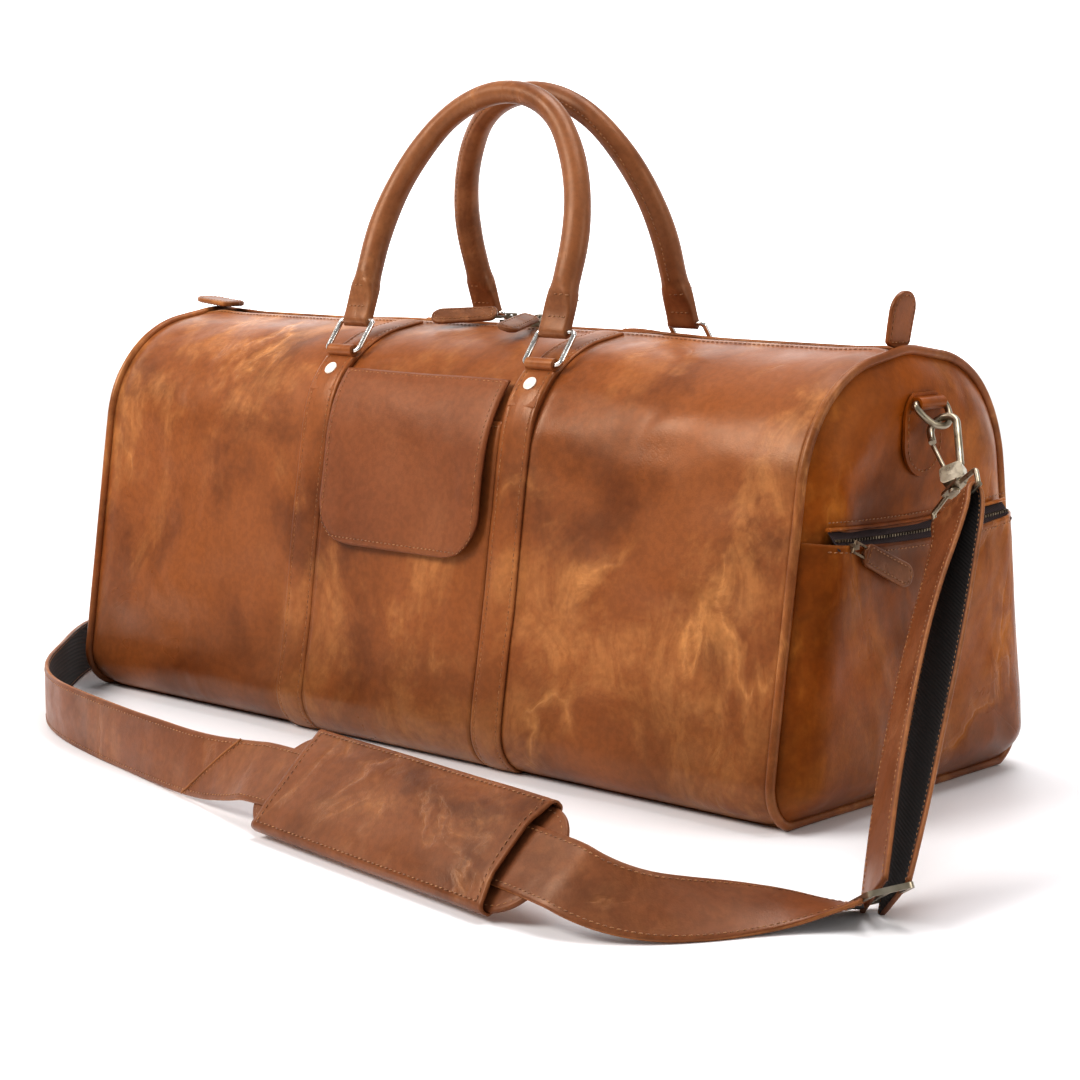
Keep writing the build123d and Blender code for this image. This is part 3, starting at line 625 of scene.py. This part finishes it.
SPLICE = 0.655  # distance of the sewn joint from the strap's left eye, in metres
STRAP_HALF, STRAP_THICK = 19.0, 1.5
STRAP_RIM = [(-1, 0), (-0.985, 0.62), (-0.94, 0.98), (-0.80, 0.86), (-0.4, 0.98), (0, 1.04), (0.4, 0.98),
             (0.80, 0.86), (0.94, 0.98), (0.985, 0.62), (1, 0), (0.985, -0.62), (0.95, -0.95), (0.80, -0.80),
             (0, -0.80), (-0.80, -0.80), (-0.95, -0.95), (-0.985, -0.62)]
RIM_BACKING, RIM_EDGE = range(12, 16), (0, 9, 10, 17)


def make_strap(name, route, replaced, splice_at=None):
    """Flat strap: leather face and folded edges, dark ribbed backing, stitched along both edges."""
    at, centre, ahead, side, face = strap_line(route)
    middle = centre * 1000
    wob = 1 + 0.012 * ripple(at * 1000, 0 * at, 90.0)
    rings = [middle + side * (u * STRAP_HALF * wob)[:, None] + face * (w * STRAP_THICK) for u, w in STRAP_RIM]
    verts = np.stack(rings, 1)
    rows, cols = verts.shape[:2]
    faces = grid_faces(rows, cols, wrap_cols=True)
    faces.append(tuple(range(cols))[::-1])
    faces.append(tuple((rows - 1) * cols + i for i in range(cols)))
    looks = [LOOK["strap_leather"], BACKING, EDGE]
    piece = add_mesh(name, verts.reshape(-1, 3), faces, "strap_leather", replaces=replaced, look=looks)
    for index, polygon in enumerate(piece.data.polygons[: (rows - 1) * cols]):
        column = index % cols
        polygon.material_index = 1 if column in RIM_BACKING else (2 if column in RIM_EDGE else 0)
    parts = []
    for u, w, side_out in ((-0.84, 0.90, 1), (0.84, 0.90, 1), (-0.88, -0.86, -1), (0.88, -0.86, -1)):
        line = middle + side * (u * STRAP_HALF) + face * (w * STRAP_THICK)
        parts.append(stitch_line(line, face * side_out))
    splice = None
    if splice_at:
        u = np.linspace(-0.97, 0.97, 24)
        lines = []
        for ahead_by, lift in ((0.0, 1.55), (0.0026, 1.45)):
            spots = splice_at + ahead_by + u * 0.024
            across, out = along(side, at, spots), along(face, at, spots)
            line = along(centre, at, spots) * 1000 + across * (u * STRAP_HALF)[:, None] + out * lift
            lines.append((line, out))
        splice = add_mesh(name + "_splice", *tube(lines[0][0], 0.75, 10), "strap_leather", look=[EDGE])
        parts.append(stitch_line(*lines[1]))
    seam = add_stitches(name + "_stitches", parts, "strap_leather")
    return piece, seam, splice, centre


RUN_NODES = ["strap_run", "strap_end_left"]
run, run_seam, splice, run_path = make_strap("shoulder_strap", STRAP_RUN, RUN_NODES, SPLICE)
loop, loop_seam, _, loop_path = make_strap("shoulder_strap_loop", STRAP_LOOP, ["strap_loop"])
for piece in (run, run_seam, splice):
    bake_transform(piece)
for piece in (loop, loop_seam):
    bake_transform(piece)


# ---- body panels, bands and pocket
S_ZIP = s_front(y=-9.0)
S_BASE = LOOP_LENGTH - 106.0
BACK = LOOP_LENGTH


def hem(x, s):
    """The leather's edge, turned under along the zip."""
    return 0.9 * np.exp(-((np.minimum(np.abs(s - S_ZIP), np.abs(s - (BACK - S_ZIP))) - 1.5) / 3.2) ** 2)


for name, s0, s1 in (("front", S_ZIP, S_BASE), ("back", BACK - S_BASE, BACK - S_ZIP)):
    verts, faces = lay(-BODY_HALF, BODY_HALF, s0, s1, -1.8, 0.0, 3.0, hem)
    add_mesh("body_" + name, verts, faces, "body_leather", "bag", [name + "_panel"])
x, y = np.meshgrid(np.linspace(-BODY_HALF, BODY_HALF, 140), np.linspace(-BASE_HALF, BASE_HALF, 50))
dip = np.sin(np.pi * (x + BODY_HALF) / (2 * BODY_HALF)) * np.sin(np.pi * (y + BASE_HALF) / (2 * BASE_HALF))
dip = 1.2 * dip + 0.02
verts, faces = shell(np.stack([x, y, dip], -1), np.stack([x, y, dip + 1.8], -1))
add_mesh("body_base", verts, faces, "body_leather", "bag", ["bottom_panel"])

stitches = []
for sign in (-1, 1):
    s_at = S_ZIP + 4.6 if sign < 0 else BACK - S_ZIP - 4.6
    for x0, x1 in ((-290, -103), (-75, 75), (103, 290)):
        stitches.append(bag_stitches(np.linspace(x0, x1, 120), s_at, 0.55))
BAND_X, BAND_HALF = 89, 12.5
S_BAND_TOP = s_front(y=-14.0)
S_BAND_LOW = LOOP_LENGTH - 107.4


def band_bow(x, s):
    edge = BAND_HALF - np.abs(np.abs(x) - BAND_X)
    rounded = -0.7 * np.exp(-(edge / 1.1) ** 2)
    return rounded - 0.35 * np.exp(-((edge - 3.4) / 0.9) ** 2) + 0.25 * smoothstep((edge - 4) / 6)


S_RING, S_TAB_LOW = s_front(y=-73.2), s_front(z=196.0)


def tab_rise(s):
    """The band thickens where the ring's folded tab lies under it, and drops again above the ring."""
    front = np.where(s > HALF_S, s, BACK - s)
    return 3.0 * smoothstep((S_TAB_LOW - front) / 42) * smoothstep((front - S_RING - 1.0) / 3.5)


for side, sign in (("left", -1), ("right", 1)):
    parts = []
    for s0, s1 in ((S_BAND_TOP, S_BAND_LOW), (BACK - S_BAND_LOW, BACK - S_BAND_TOP)):
        xs, ss = np.meshgrid(sign * BAND_X + np.linspace(-BAND_HALF, BAND_HALF, 26), np.linspace(s0, s1, 160))
        parts.append(shell(on_bag(xs, ss, 2.1 + band_bow(xs, ss) + tab_rise(ss)), on_bag(xs, ss, 0.05)))
    verts, faces = gather(parts)
    add_mesh("band_strip_" + side, verts, faces, "body_leather", "bag", ["band_" + side])
    for inset in (-9.1, 9.1):
        for mirrored in (False, True):
            ss = np.linspace(S_BAND_TOP + 3, S_BAND_LOW - 2, 300)
            at = BACK - ss if mirrored else ss
            stitches.append(bag_stitches(sign * BAND_X + inset, at, 1.75 + tab_rise(ss)))

s_pocket = (s_front(z=214.0), LOOP_LENGTH - 108.0)
verts, faces = lay(-76, 76, s_pocket[0], s_pocket[1], 0.2, 1.5, 3.5)
add_mesh("front_pocket", verts, faces, "body_leather", "bag", ["front_pocket_panel"])
stitches.append(bag_stitches(np.linspace(-73, 73, 80), s_pocket[0] + 3.2, 1.5))
add_stitches("body_stitches", stitches, "body_leather", "bag")

# the pocket's flap
FLAP_LEFT, FLAP_RIGHT, FLAP_TOP, FLAP_LOW, CORNER = -73.5, 71.0, 236.0, 128.0, 30.0
S_FLAP_TOP, S_FLAP_LOW = s_front(z=FLAP_TOP), s_front(z=FLAP_LOW)


def flap_grid(inset, cols=60, rows=56):
    s = np.linspace(S_FLAP_TOP + inset * 0.6, S_FLAP_LOW - inset, rows)
    near = np.clip(S_FLAP_LOW - s, 0, CORNER)
    shrink = CORNER - np.sqrt(np.maximum(CORNER ** 2 - (CORNER - near) ** 2, 0))
    left, right = FLAP_LEFT + np.maximum(shrink, inset), FLAP_RIGHT - np.maximum(shrink, inset)
    share = np.linspace(0, 1, cols)
    return left[:, None] + (right - left)[:, None] * share, np.repeat(s[:, None], cols, 1)


def flap_lift(x, s):
    """The flap springs off the pocket towards its free edges, most at the right."""
    down = smoothstep((s - S_FLAP_TOP) / (S_FLAP_LOW - S_FLAP_TOP))
    right = smoothstep((x - 20) / 51)
    near_side = smoothstep((np.abs((x - FLAP_LEFT) / (FLAP_RIGHT - FLAP_LEFT) * 2 - 1) - 0.93) / 0.07)
    crown = 0.5 * ripple(x + 300, s, 120.0)
    spring = 3.2 * right * np.sin(np.pi * down * 0.8)
    return 0.7 * down + spring + crown - 0.5 * near_side + 1.0


xs, ss = flap_grid(0.0)
rise = flap_lift(xs, ss)
edge = np.minimum(np.abs(xs - xs[:, :1]), np.abs(xs - xs[:, -1:]))
edge = np.minimum(edge, np.minimum(ss - S_FLAP_TOP, S_FLAP_LOW - ss))
round_off = -0.75 * np.exp(-(edge / 0.9) ** 2) - 0.35 * np.exp(-((edge - 4.2) / 1.0) ** 2)
verts, faces = shell(on_bag(xs, ss, 5.1 + rise + round_off), on_bag(xs, ss, 3.1 + rise))
add_mesh("pocket_flap_leather", verts, faces, "flap_leather", "flap", ["pocket_flap"])
inner_x, inner_s = flap_grid(4.2)
ring = [(inner_x[i, 0], inner_s[i, 0]) for i in range(inner_x.shape[0])]
ring += [(inner_x[-1, k], inner_s[-1, k]) for k in range(inner_x.shape[1])]
ring += [(inner_x[i, -1], inner_s[i, -1]) for i in range(inner_x.shape[0] - 1, -1, -1)]
ring += [(inner_x[0, k], inner_s[0, k]) for k in range(inner_x.shape[1] - 1, -1, -1)]
ring = np.array(ring)
_, _, ny, nz = outline(ring[:, 1])
line = on_bag(ring[:, 0], ring[:, 1], 4.85 + flap_lift(ring[:, 0], ring[:, 1]))
add_stitches("flap_stitches", [stitch_line(line, np.stack([0 * ny, ny, nz], -1))], "flap_leather", "flap")


# ---- piping and end panels
PIPING_X, PIPING_RADIUS, PIPING_SIDES = 304.7, 2.9, 14
for side, sign in (("left", -1), ("right", 1)):
    s = np.linspace(0, LOOP_LENGTH, 520)
    y, z, ny, nz = outline(s)
    wave = 0.25 * ripple(s, 0 * s, 70.0)
    low_z = np.maximum(z - nz * 1.5, PIPING_RADIUS)
    path = np.stack([sign * PIPING_X + sign * wave, y - ny * 1.5, low_z], -1)
    verts, faces = tube(path[:-1], PIPING_RADIUS, PIPING_SIDES)
    last = (len(path) - 2) * PIPING_SIDES
    pairs = [(i, (i + 1) % PIPING_SIDES) for i in range(PIPING_SIDES)]
    faces = faces[:-2] + [(last + i, last + j, j, i) for i, j in pairs]
    add_mesh("piping_cord_" + side, verts, faces, "body_leather", "bag", ["piping_" + side])

END_CENTRE = np.array([0.0, 128.0])


def bulge(depth):
    t = np.clip(depth, 0, 1)
    return 1 - (1 - t) ** 2.4


def end_surface(y, z, depth):
    """How far the end panel stands out in x, for a point at that distance from its seam, in mm."""
    soft = 0.8 * ripple(y * 1.2, z, 95.0) + 0.4 * ripple(y + 70, z * 1.4 + 40, 40.0)
    quiet = 1 - 0.85 * np.exp(-((y / 26) ** 2 + ((z - 218) / 34) ** 2) ** 2)
    return 304.0 + 12.0 * bulge(depth / 34.0) + np.minimum(soft - 0.5, 0.1) * smoothstep(depth / 30) * quiet


def end_panel(side, sign):
    s = np.linspace(0, LOOP_LENGTH, 420)
    y, z, ny, nz = outline(s)
    rim = np.stack([y - ny * 3.2, z - nz * 3.2], -1)
    share = np.linspace(0, 1, 64) ** 1.15
    inward = END_CENTRE - rim
    spots = rim[None] + inward[None] * share[:, None, None]
    depth = share[:, None] * (np.abs(inward[:, 0] * ny) + np.abs(inward[:, 1] * nz))[None]
    yy, zz = spots[..., 0], spots[..., 1]
    face = end_surface(yy, zz, depth)
    outer = np.stack([sign * face, yy, zz], -1)
    inner = np.stack([sign * (face - 1.8), yy, zz], -1)
    verts, faces = shell(outer, inner) if sign > 0 else shell(inner, outer)
    add_mesh("end_leather_" + side, verts, faces, "end_leather", "bag", ["end_panel_" + side])


end_panel("right", 1)
end_panel("left", -1)


def half_width(z, grow):
    s = np.linspace(LOOP_LENGTH * 0.02, LOOP_LENGTH / 2, 1500)
    y, zz, ny, nz = outline(s)
    return np.interp(z, (zz + nz * grow), (y + ny * grow))


def pocket_grid(cols=110, rows=72):
    a = np.linspace(-1, 1, cols)
    a = np.sign(a) * np.abs(a) ** 0.85
    top = 157.5 + 6.0 * a ** 2
    v = np.linspace(0, 1, rows)[:, None]
    z = 5.0 + (top[None] - 5.0) * v
    y = a[None] * half_width(z, -3.6)
    side = half_width(z, -3.6) - np.abs(y)
    swell = bulge(side / 26.0) * bulge((z - 5.0) / 26.0)
    soft = 1.1 * ripple(y * 1.1 + 50, z + 15, 90.0) + 0.45 * ripple(y, z, 38.0)
    lip = 1.4 * np.exp(-((top[None] - z) / 5.0) ** 2) * smoothstep(side / 30)
    x = 306.0 + 18.0 * swell + np.minimum(soft, 0.8) * smoothstep(side / 25) * smoothstep((z - 5) / 25) + lip
    return x, y, z


px, py, pz = pocket_grid()
verts, faces = shell(np.stack([px, py, pz], -1), np.stack([px - 1.8, py, pz], -1))
add_mesh("end_pocket_leather", verts, faces, "end_leather", "bag", ["end_pocket_panel"], [POCKET])
SEAM_DROP = 4.0
row = np.argmin(np.abs(pz - (pz[-1] - SEAM_DROP)), axis=0)
pick = np.arange(px.shape[1])
line = np.stack([px[row, pick] + 0.05, py[row, pick], pz[-1] - SEAM_DROP], -1)[6:-6]
end_stitches = [stitch_line(line, X_AXIS)]
# the leather edge above the pocket's zip
ys = np.linspace(-92, 89, 120)
welt_z = 165.8 + 6.0 * (ys / 128.0) ** 2
welt_x = 316.6 + 0 * ys
verts, faces = tube(np.stack([welt_x, ys, welt_z + 1.4], -1), 1.5, squash=0.8)
add_mesh("end_zip_welt", verts, faces, "end_leather", "bag")
line = np.stack([welt_x + 0.2, ys, welt_z + 5.4], -1)
end_stitches.append(stitch_line(line, X_AXIS))

# stitches around the D-ring patches
for sign in (-1, 1):
    turn = np.linspace(0, math.tau, 160)
    oval = np.stack([np.cos(turn) * 16.6, np.sin(turn) * 16.6 + np.sign(np.sin(turn)) * 6.0 + 218.0], -1)
    oval = oval[oval[:, 1] < 238.0]
    oval = oval[np.argsort(np.arctan2(oval[:, 0], 214 - oval[:, 1]))]
    line = np.stack([np.full(len(oval), sign * 318.05), oval[:, 0], oval[:, 1]], -1)
    end_stitches.append(stitch_line(line, sign * X_AXIS, pitch=3.8))
add_stitches("end_stitches", end_stitches, "end_leather", "bag")


# ---- handles
def handle_line(step=1.5):
    """Centre line of a handle in its own plane: along the bag, up the handle."""
    legs = [(40.6 + 8.8, 0.0), (133 * math.radians(40), 1 / 133), (74.2 * math.radians(100), 1 / 74.2)]
    legs = legs + [legs[1], legs[0]]
    x, y, heading = -89.0, -4.4, math.pi / 2
    found = [(x, y)]
    for length, bend in legs:
        count = max(2, int(length / step))
        for _ in range(count):
            heading -= bend * length / count / 2
            x, y = x + math.cos(heading) * length / count, y + math.sin(heading) * length / count
            heading -= bend * length / count / 2
            found.append((x, y))
    return np.array(found)


HANDLE_SEAM = 1.5 * math.pi - 0.30  # the rolled seam's place around the section


def handle(name, origin, lean, outward):
    line = handle_line()
    run_at = distances(line)
    foot = np.minimum(run_at, run_at[-1] - run_at) - 4.4
    ahead = np.gradient(line, axis=0)
    ahead /= np.linalg.norm(ahead, axis=1)[:, None]
    across = np.stack([ahead[:, 1], -ahead[:, 0]], -1)
    grow = smoothstep((foot - 9) / 24)
    roll = 8.7 - 1.2 * smoothstep((foot - 60) / 120)
    wide = 11.0 * (1 - grow) + roll * grow
    tip = np.sqrt(np.clip(4.4 ** 2 - np.minimum(foot, 0) ** 2, 0.04, None))
    thick = np.where(foot < 0, tip, 4.4 - 0.7 * smoothstep(foot / 5) + (roll - 3.7) * grow)
    power = 2.0 + 3.0 * (1 - grow)
    cuff = 0.30 * smoothstep((27 - foot) / 2.0)
    turn = np.linspace(0, math.tau, 36, endpoint=False)
    ridge = 0.75 * np.exp(-((turn - 1.5 * math.pi) / 0.13) ** 2)
    up_y, up_z = np.array([0, *lean]), np.array([0, *outward])

    def put(flat, lift):
        return origin + flat[:, :1] * X_AXIS + flat[:, 1:] * up_y + lift * up_z

    rings = []
    for k in range(len(line)):
        c, s = np.cos(turn), np.sin(turn)
        swell = 1 + 0.012 * math.sin(run_at[k] / 9.0) * grow[k]
        a = (wide[k] * swell + cuff[k]) * np.sign(c) * np.abs(c) ** (2 / power[k])
        b = thick[k] * swell + cuff[k] * smoothstep(foot[k] / 4) + ridge * grow[k]
        b = b * np.sign(s) * np.abs(s) ** (2 / power[k])
        flat = line[k][None] + across[k][None] * a[:, None]
        rings.append(put(flat, b[:, None]))
    verts = np.array(rings)
    rows, cols = verts.shape[:2]
    faces = grid_faces(rows, cols, wrap_cols=True)
    faces += [tuple(range(cols))[::-1], tuple((rows - 1) * cols + i for i in range(cols))]
    nodes = [name + "_" + part for part in ("grip", "loops", "core")]
    add_mesh(name + "_leather", verts.reshape(-1, 3), faces, "handle_leather", name, nodes)
    keep = foot > 30
    c, s = math.cos(HANDLE_SEAM), math.sin(HANDLE_SEAM)
    reach = roll[keep][:, None] + 0.05
    seam = put(line[keep] + across[keep] * c * reach, s * reach)
    parts = [stitch_line(seam, put(across[keep] * c, s) - origin)]
    for x in (-BAND_X, BAND_X):
        for height, half, reach in ((8.5, 8.5, 4.15), (22.0, 9.0, 6.5)):
            for sign in (-1, 1):
                xs = np.linspace(-half, half, 20) * 0.9
                lift = np.full((20, 1), reach)
                if height > 20:
                    lift = reach * np.sqrt(np.clip(1 - (xs / 10.2) ** 2, 0.05, 1))[:, None] + 0.6
                seam = put(np.stack([x + xs, np.full(20, height)], -1), sign * lift)
                parts.append(stitch_line(seam, sign * up_z, pitch=3.8, length=2.8))
    add_stitches(name + "_stitches", parts, "handle_leather", name)


PIVOT = (-62.70, 268.77)
handle("front_handle", np.array([0, PIVOT[0], PIVOT[1]]), (0.327, 0.945), (-0.945, 0.327))
handle("back_handle", np.array([0, -PIVOT[0], PIVOT[1]]), (-0.327, 0.945), (0.945, 0.327))


# ---- zips, pulls and end tabs
PUFF, TAB_SEAM = 0.25, 2.4


def tab(length, width, thick, root, rows=48, cols=21):
    """Leather tab in its own frame: along x from 0, across y, thick in z, with a rounded far end."""
    u = np.linspace(0, 1, rows)
    x = length * (1 - np.cos(np.pi * u)) / 2
    r = width / 2
    tip = np.sqrt(np.clip(1 - (np.clip(x - (length - r), 0, None) / r) ** 2, 0.0005, 1))
    base = np.sqrt(np.clip(1 - (np.clip(root - x, 0, None) / root) ** 2, 0.08, 1))
    half = r * tip * base * (1 - 0.10 * (1 - x / length))
    v = np.sin(np.linspace(-1, 1, cols) * math.pi / 2)
    y = half[:, None] * v[None]
    inside = np.minimum(np.minimum(half[:, None] - np.abs(y), (length - x)[:, None]), x[:, None] + 0.2)
    z = thick / 2 * (1 - 0.55 * np.exp(-inside / 0.55)) + PUFF * (1 - np.exp(-inside / 3.0))
    z = z - 0.22 * np.exp(-((inside - TAB_SEAM) / 0.6) ** 2)
    xx = np.repeat(x[:, None], cols, 1)
    xs = np.linspace(TAB_SEAM + 1, length - TAB_SEAM, 60)
    tip = np.sqrt(np.clip(1 - (np.clip(xs - (length - r), 0, None) / (r - TAB_SEAM)) ** 2, 0, 1))
    w = (r - TAB_SEAM) * tip * (1 - 0.10 * (1 - xs / length))
    rim = list(zip(xs, w)) + list(zip(xs[::-1], -w[::-1]))
    rim += [(TAB_SEAM + 1, rim[0][1])]
    return np.stack([xx, y, z], -1), np.stack([xx, y, -z], -1), np.array(rim), thick / 2 + PUFF * 0.5


def leather_tab(name, origin, along, normal, length, width, thick, body, slot, replaced, root=5.0, curl=0.0):
    front, back, rim, level = tab(length, width, thick, root)
    for part in (front, back):
        part[..., 2] += curl * (part[..., 0] / length) ** 2
    at, axes = frame_at(origin, along, normal)
    verts, faces = shell(front, back)
    add_mesh(name, placed(verts, at, axes), faces, slot, body, replaced)
    parts = []
    for sign in (-1, 1):
        lift = sign * level + curl * (rim[:, 0] / length) ** 2
        line = placed(np.stack([rim[:, 0], rim[:, 1], lift], -1), at, axes)
        parts.append(stitch_line(line, sign * axes[2], pitch=3.3, length=2.4, width=0.33, height=0.4))
    add_stitches(name + "_stitches", parts, slot, body)


def unit(v):
    return np.array(v, float) / np.linalg.norm(v)


PULL_SIZE, LINK_REACH = (45.0, 14.6, 3.2), 9.6
for side, x, heading in (("left", -8.0, (-0.86, -0.5, -0.06)), ("right", 16.0, (0.31, -0.93, -0.12))):
    a = unit(heading)
    across = unit((a[1], -a[0], 0))
    normal = np.cross(across, a)
    normal = normal * np.sign(normal[2]) + np.array([0.50, -0.55, 0.0])
    origin = np.array([x, 0, 274.0]) + a * LINK_REACH
    leather_tab("pull_tab_" + side, origin, a, normal, *PULL_SIZE, side + "_pull", "pull_leather",
                ["leather_pull_" + side])
a = unit((0.06, 0.90, -0.43))
origin = np.array([326.2, -79.0, 160.6]) + a * LINK_REACH
leather_tab("end_pull_tab", origin, a, (1, 0, 0), *PULL_SIZE, "end_pull", "pull_leather",
            ["end_leather_pull"], curl=1.5)
leather_tab("zip_tab_right", (297.4, 0, 265.5), (0.10, 0.04, 1), (1, 0, 0), 33.5, 25.0, 3.2, "bag",
            "body_leather", ["zip_end_tab_right"], 4.0, 1.5)
leather_tab("zip_tab_left", (-284.0, 0, 269.6), (-1, 0, 0.06), (0, 0, 1), 38.0, 22.5, 3.4, "bag",
            "body_leather", ["zip_end_tab_left"], 4.0, 1.0)


CUBE_FACES = ((0, 1, 3, 2), (4, 6, 7, 5), (0, 4, 5, 1), (2, 3, 7, 6), (0, 2, 6, 4), (1, 5, 7, 3))


def teeth_mesh(points, ahead, side, up, pitch, reach, tall):
    """Two meshed rows of small zip teeth along a line."""
    verts, faces = [], []
    run_at = distances(points)
    for k in range(int(run_at[-1] / pitch)):
        at = (k + 0.5) * pitch
        spot = along(points, run_at, at)
        sign = 1 if k % 2 else -1
        base = len(verts)
        for a in (-0.42, 0.42):
            for b in (-0.35, 1.0):
                for c in (-0.5, 0.5):
                    rise = c * tall * (1 if b > 0 else 0.8)
                    verts.append(spot + ahead * a * pitch + side * b * reach * sign + up * rise)
        faces += [tuple(base + i for i in f) for f in CUBE_FACES]
    return verts, faces


TOOTH_PITCH = 1.35
x = np.linspace(-286, 286, 300)
top = on_bag(x, HALF_S, -2.4)
verts, faces = teeth_mesh(top, X_AXIS, Y_AXIS, Z_AXIS, TOOTH_PITCH, 2.6, 1.8)
add_mesh("main_zip_tooth_rows", verts, faces, "zip_metal", "bag", ["main_zip_teeth"], smooth=False)
parts = []
for sign in (-1, 1):
    xs, off = np.meshgrid(np.linspace(-288, 288, 200), np.linspace(2.4, 16.0, 10))
    grid = on_bag(xs, HALF_S + sign * off, -2.2)
    under = on_bag(xs, HALF_S + sign * off, -3.0)
    parts.append(shell(grid, under) if sign < 0 else shell(under, grid))
verts, faces = gather(parts)
add_mesh("main_zip_tape_cloth", verts, faces, "zip_tape", "bag", ["main_zip_tapes"])
ys = np.linspace(-88, 88, 120)
end_line = np.stack([319.2 + 0 * ys, ys, 161.2 + 6.0 * (ys / 128.0) ** 2], -1)
verts, faces = teeth_mesh(end_line, Y_AXIS, X_AXIS, Z_AXIS, TOOTH_PITCH, 1.9, 1.5)
add_mesh("end_zip_tooth_rows", verts, faces, "zip_metal", "bag", ["end_zip_teeth"], smooth=False)
xs, yy = np.meshgrid(np.linspace(314.8, 322.6, 8), np.linspace(-89, 89, 100))
zz = 156.4 + (322.6 - xs) * 1.25 + 6.0 * (yy / 128.0) ** 2
verts, faces = shell(np.stack([xs, yy, zz], -1), np.stack([xs, yy, zz - 0.8], -1))
add_mesh("end_zip_tape_cloth", verts, faces, "zip_tape", "bag", ["end_zip_tapes"])


# ---- shoulder pad
PAD_AT, PAD_AXES = frame_at((200.0, -312.0, 30.5), (0.989, -0.1445, 0.0), (-0.102, -0.699, 0.707))


PAD_HALF, SLEEVE_HALF, SLEEVE_WIDE, SLEEVE_PULL, SLEEVE_DOME = 125.0, 104, 34.5, 4.5, 2.4


def pad_base(inset=0.0, cols=31, rows=90):
    half_length, half, corner = PAD_HALF - inset, 32.5 - inset, 27.0 - inset
    x = -half_length * np.cos(np.linspace(0, math.pi, rows))
    near = np.clip(half_length - np.abs(x), 0, corner)
    w = half - corner + np.sqrt(np.maximum(corner ** 2 - (corner - near) ** 2, 0.02))
    v = np.sin(np.linspace(-1, 1, cols) * math.pi / 2)
    return np.repeat(x[:, None], cols, 1), w[:, None] * v[None], w


x, y, w = pad_base()
inside = np.minimum(w[:, None] - np.abs(y), PAD_HALF - np.abs(x) + 0.1)
body = 1.9 * (1 - 0.6 * np.exp(-inside / 0.7)) + 0.7 * (1 - np.exp(-np.clip(inside - 3, 0, None) / 5.0))
body = body - 0.3 * np.exp(-((inside - 3.2) / 0.8) ** 2)
verts, faces = shell(np.stack([x, y, -4.1 + body * 0.8], -1), np.stack([x, y, -4.1 - body], -1))
verts = placed(verts, PAD_AT, PAD_AXES)
pad_low = add_mesh("pad_base_leather", verts, faces, "strap_leather", "shoulder_pad", ["shoulder_pad_base"])
def sleeve_crown(y):
    """1 along the middle of the pad's sleeve, 0 at its folded edges."""
    return np.clip(1 - (y / SLEEVE_WIDE) ** 2, 0, 1)


turn = np.linspace(0, math.tau, 64, endpoint=False) + math.pi / 64
rings_out, rings_in = [], []
for x in np.linspace(-SLEEVE_HALF, SLEEVE_HALF, 90):
    c, s = np.cos(turn), np.sin(turn)
    swell = 1.0 + 0.05 * math.cos(math.pi * x / (2 * SLEEVE_HALF))
    yy = SLEEVE_WIDE * np.sign(c) * np.abs(c) ** (2 / 7.0)
    zz = 5.4 * np.sign(s) * np.abs(s) ** (2 / 3.4) * swell
    dimple = np.where(s > 0, -0.7 * smoothstep((np.abs(yy) - 19) / 6) * smoothstep((33 - np.abs(yy)) / 5), 0)
    wave = 0.25 * ripple(np.full_like(yy, x), yy, 55.0)
    pinch = -0.25 * math.exp(-(SLEEVE_HALF - abs(x) - 4.0) ** 2)
    dome = np.where(s > 0, SLEEVE_DOME * sleeve_crown(yy), 0)
    xx = x - np.where(s > 0, SLEEVE_PULL * sleeve_crown(yy), 0) * np.sign(x) * (abs(x) / SLEEVE_HALF) ** 8
    rings_out.append(np.stack([xx, yy, -1.9 + zz + dimple + wave + dome + np.sign(s) * pinch], -1))
    rings_in.append(np.stack([xx, yy * 0.963, -1.9 + zz * 0.74 + dimple + wave + dome], -1))
outer, inner = np.array(rings_out), np.array(rings_in)
rows, cols = outer.shape[:2]
n = rows * cols
faces = grid_faces(rows, cols, wrap_cols=True) + grid_faces(rows, cols, n, wrap_cols=True, flip=True)
last = (rows - 1) * cols
for c in range(cols):
    d = (c + 1) % cols
    faces += [(d, c, c + n, d + n), (last + c, last + d, n + last + d, n + last + c)]
verts = np.concatenate([outer.reshape(-1, 3), inner.reshape(-1, 3)])
verts = placed(verts, PAD_AT, PAD_AXES)
add_mesh("pad_sleeve_leather", verts, faces, "strap_leather", "shoulder_pad", ["shoulder_pad_sleeve"],
         [SLEEVE])
parts = []
for x in (-100.0, 100.0):
    ys = np.linspace(-31, 31, 40)
    xs = x - np.sign(x) * SLEEVE_PULL * sleeve_crown(ys)
    zs = 3.35 + SLEEVE_DOME * sleeve_crown(ys) - 0.5 * smoothstep((np.abs(ys) - 19) / 6)
    line = placed(np.stack([xs, ys, zs], -1), PAD_AT, PAD_AXES)
    parts.append(stitch_line(line, PAD_AXES[2], pitch=3.9))
for y in (-31.0, 31.0):
    xs = np.linspace(-100, 100, 100)
    line = placed(np.stack([xs, 0 * xs + y, 0 * xs + 3.3], -1), PAD_AT, PAD_AXES)
    parts.append(stitch_line(line, PAD_AXES[2], pitch=3.9))
bx, by, bw = pad_base(3.2)
for sign in (-1, 1):
    for end in (-1, 1):
        keep = bx[:, 0] * end > 98
        line = np.stack([bx[keep, 0], sign * bw[keep], 0 * bw[keep] - 2.75], -1)
        line = placed(line, PAD_AT, PAD_AXES)
        parts.append(stitch_line(line, PAD_AXES[2], pitch=3.9))
add_stitches("pad_stitches", parts, "strap_leather", "shoulder_pad")


# ---- finishes on the CAD pieces
slots = {entry["node"]: entry["material_slot"] for entry in frame["record"]["subparts"]}
for name, node in frame["nodes"].items():
    node.data.materials.clear()
    node.data.materials.append(RIVET if name == "rivets" else LOOK[slots[name]])
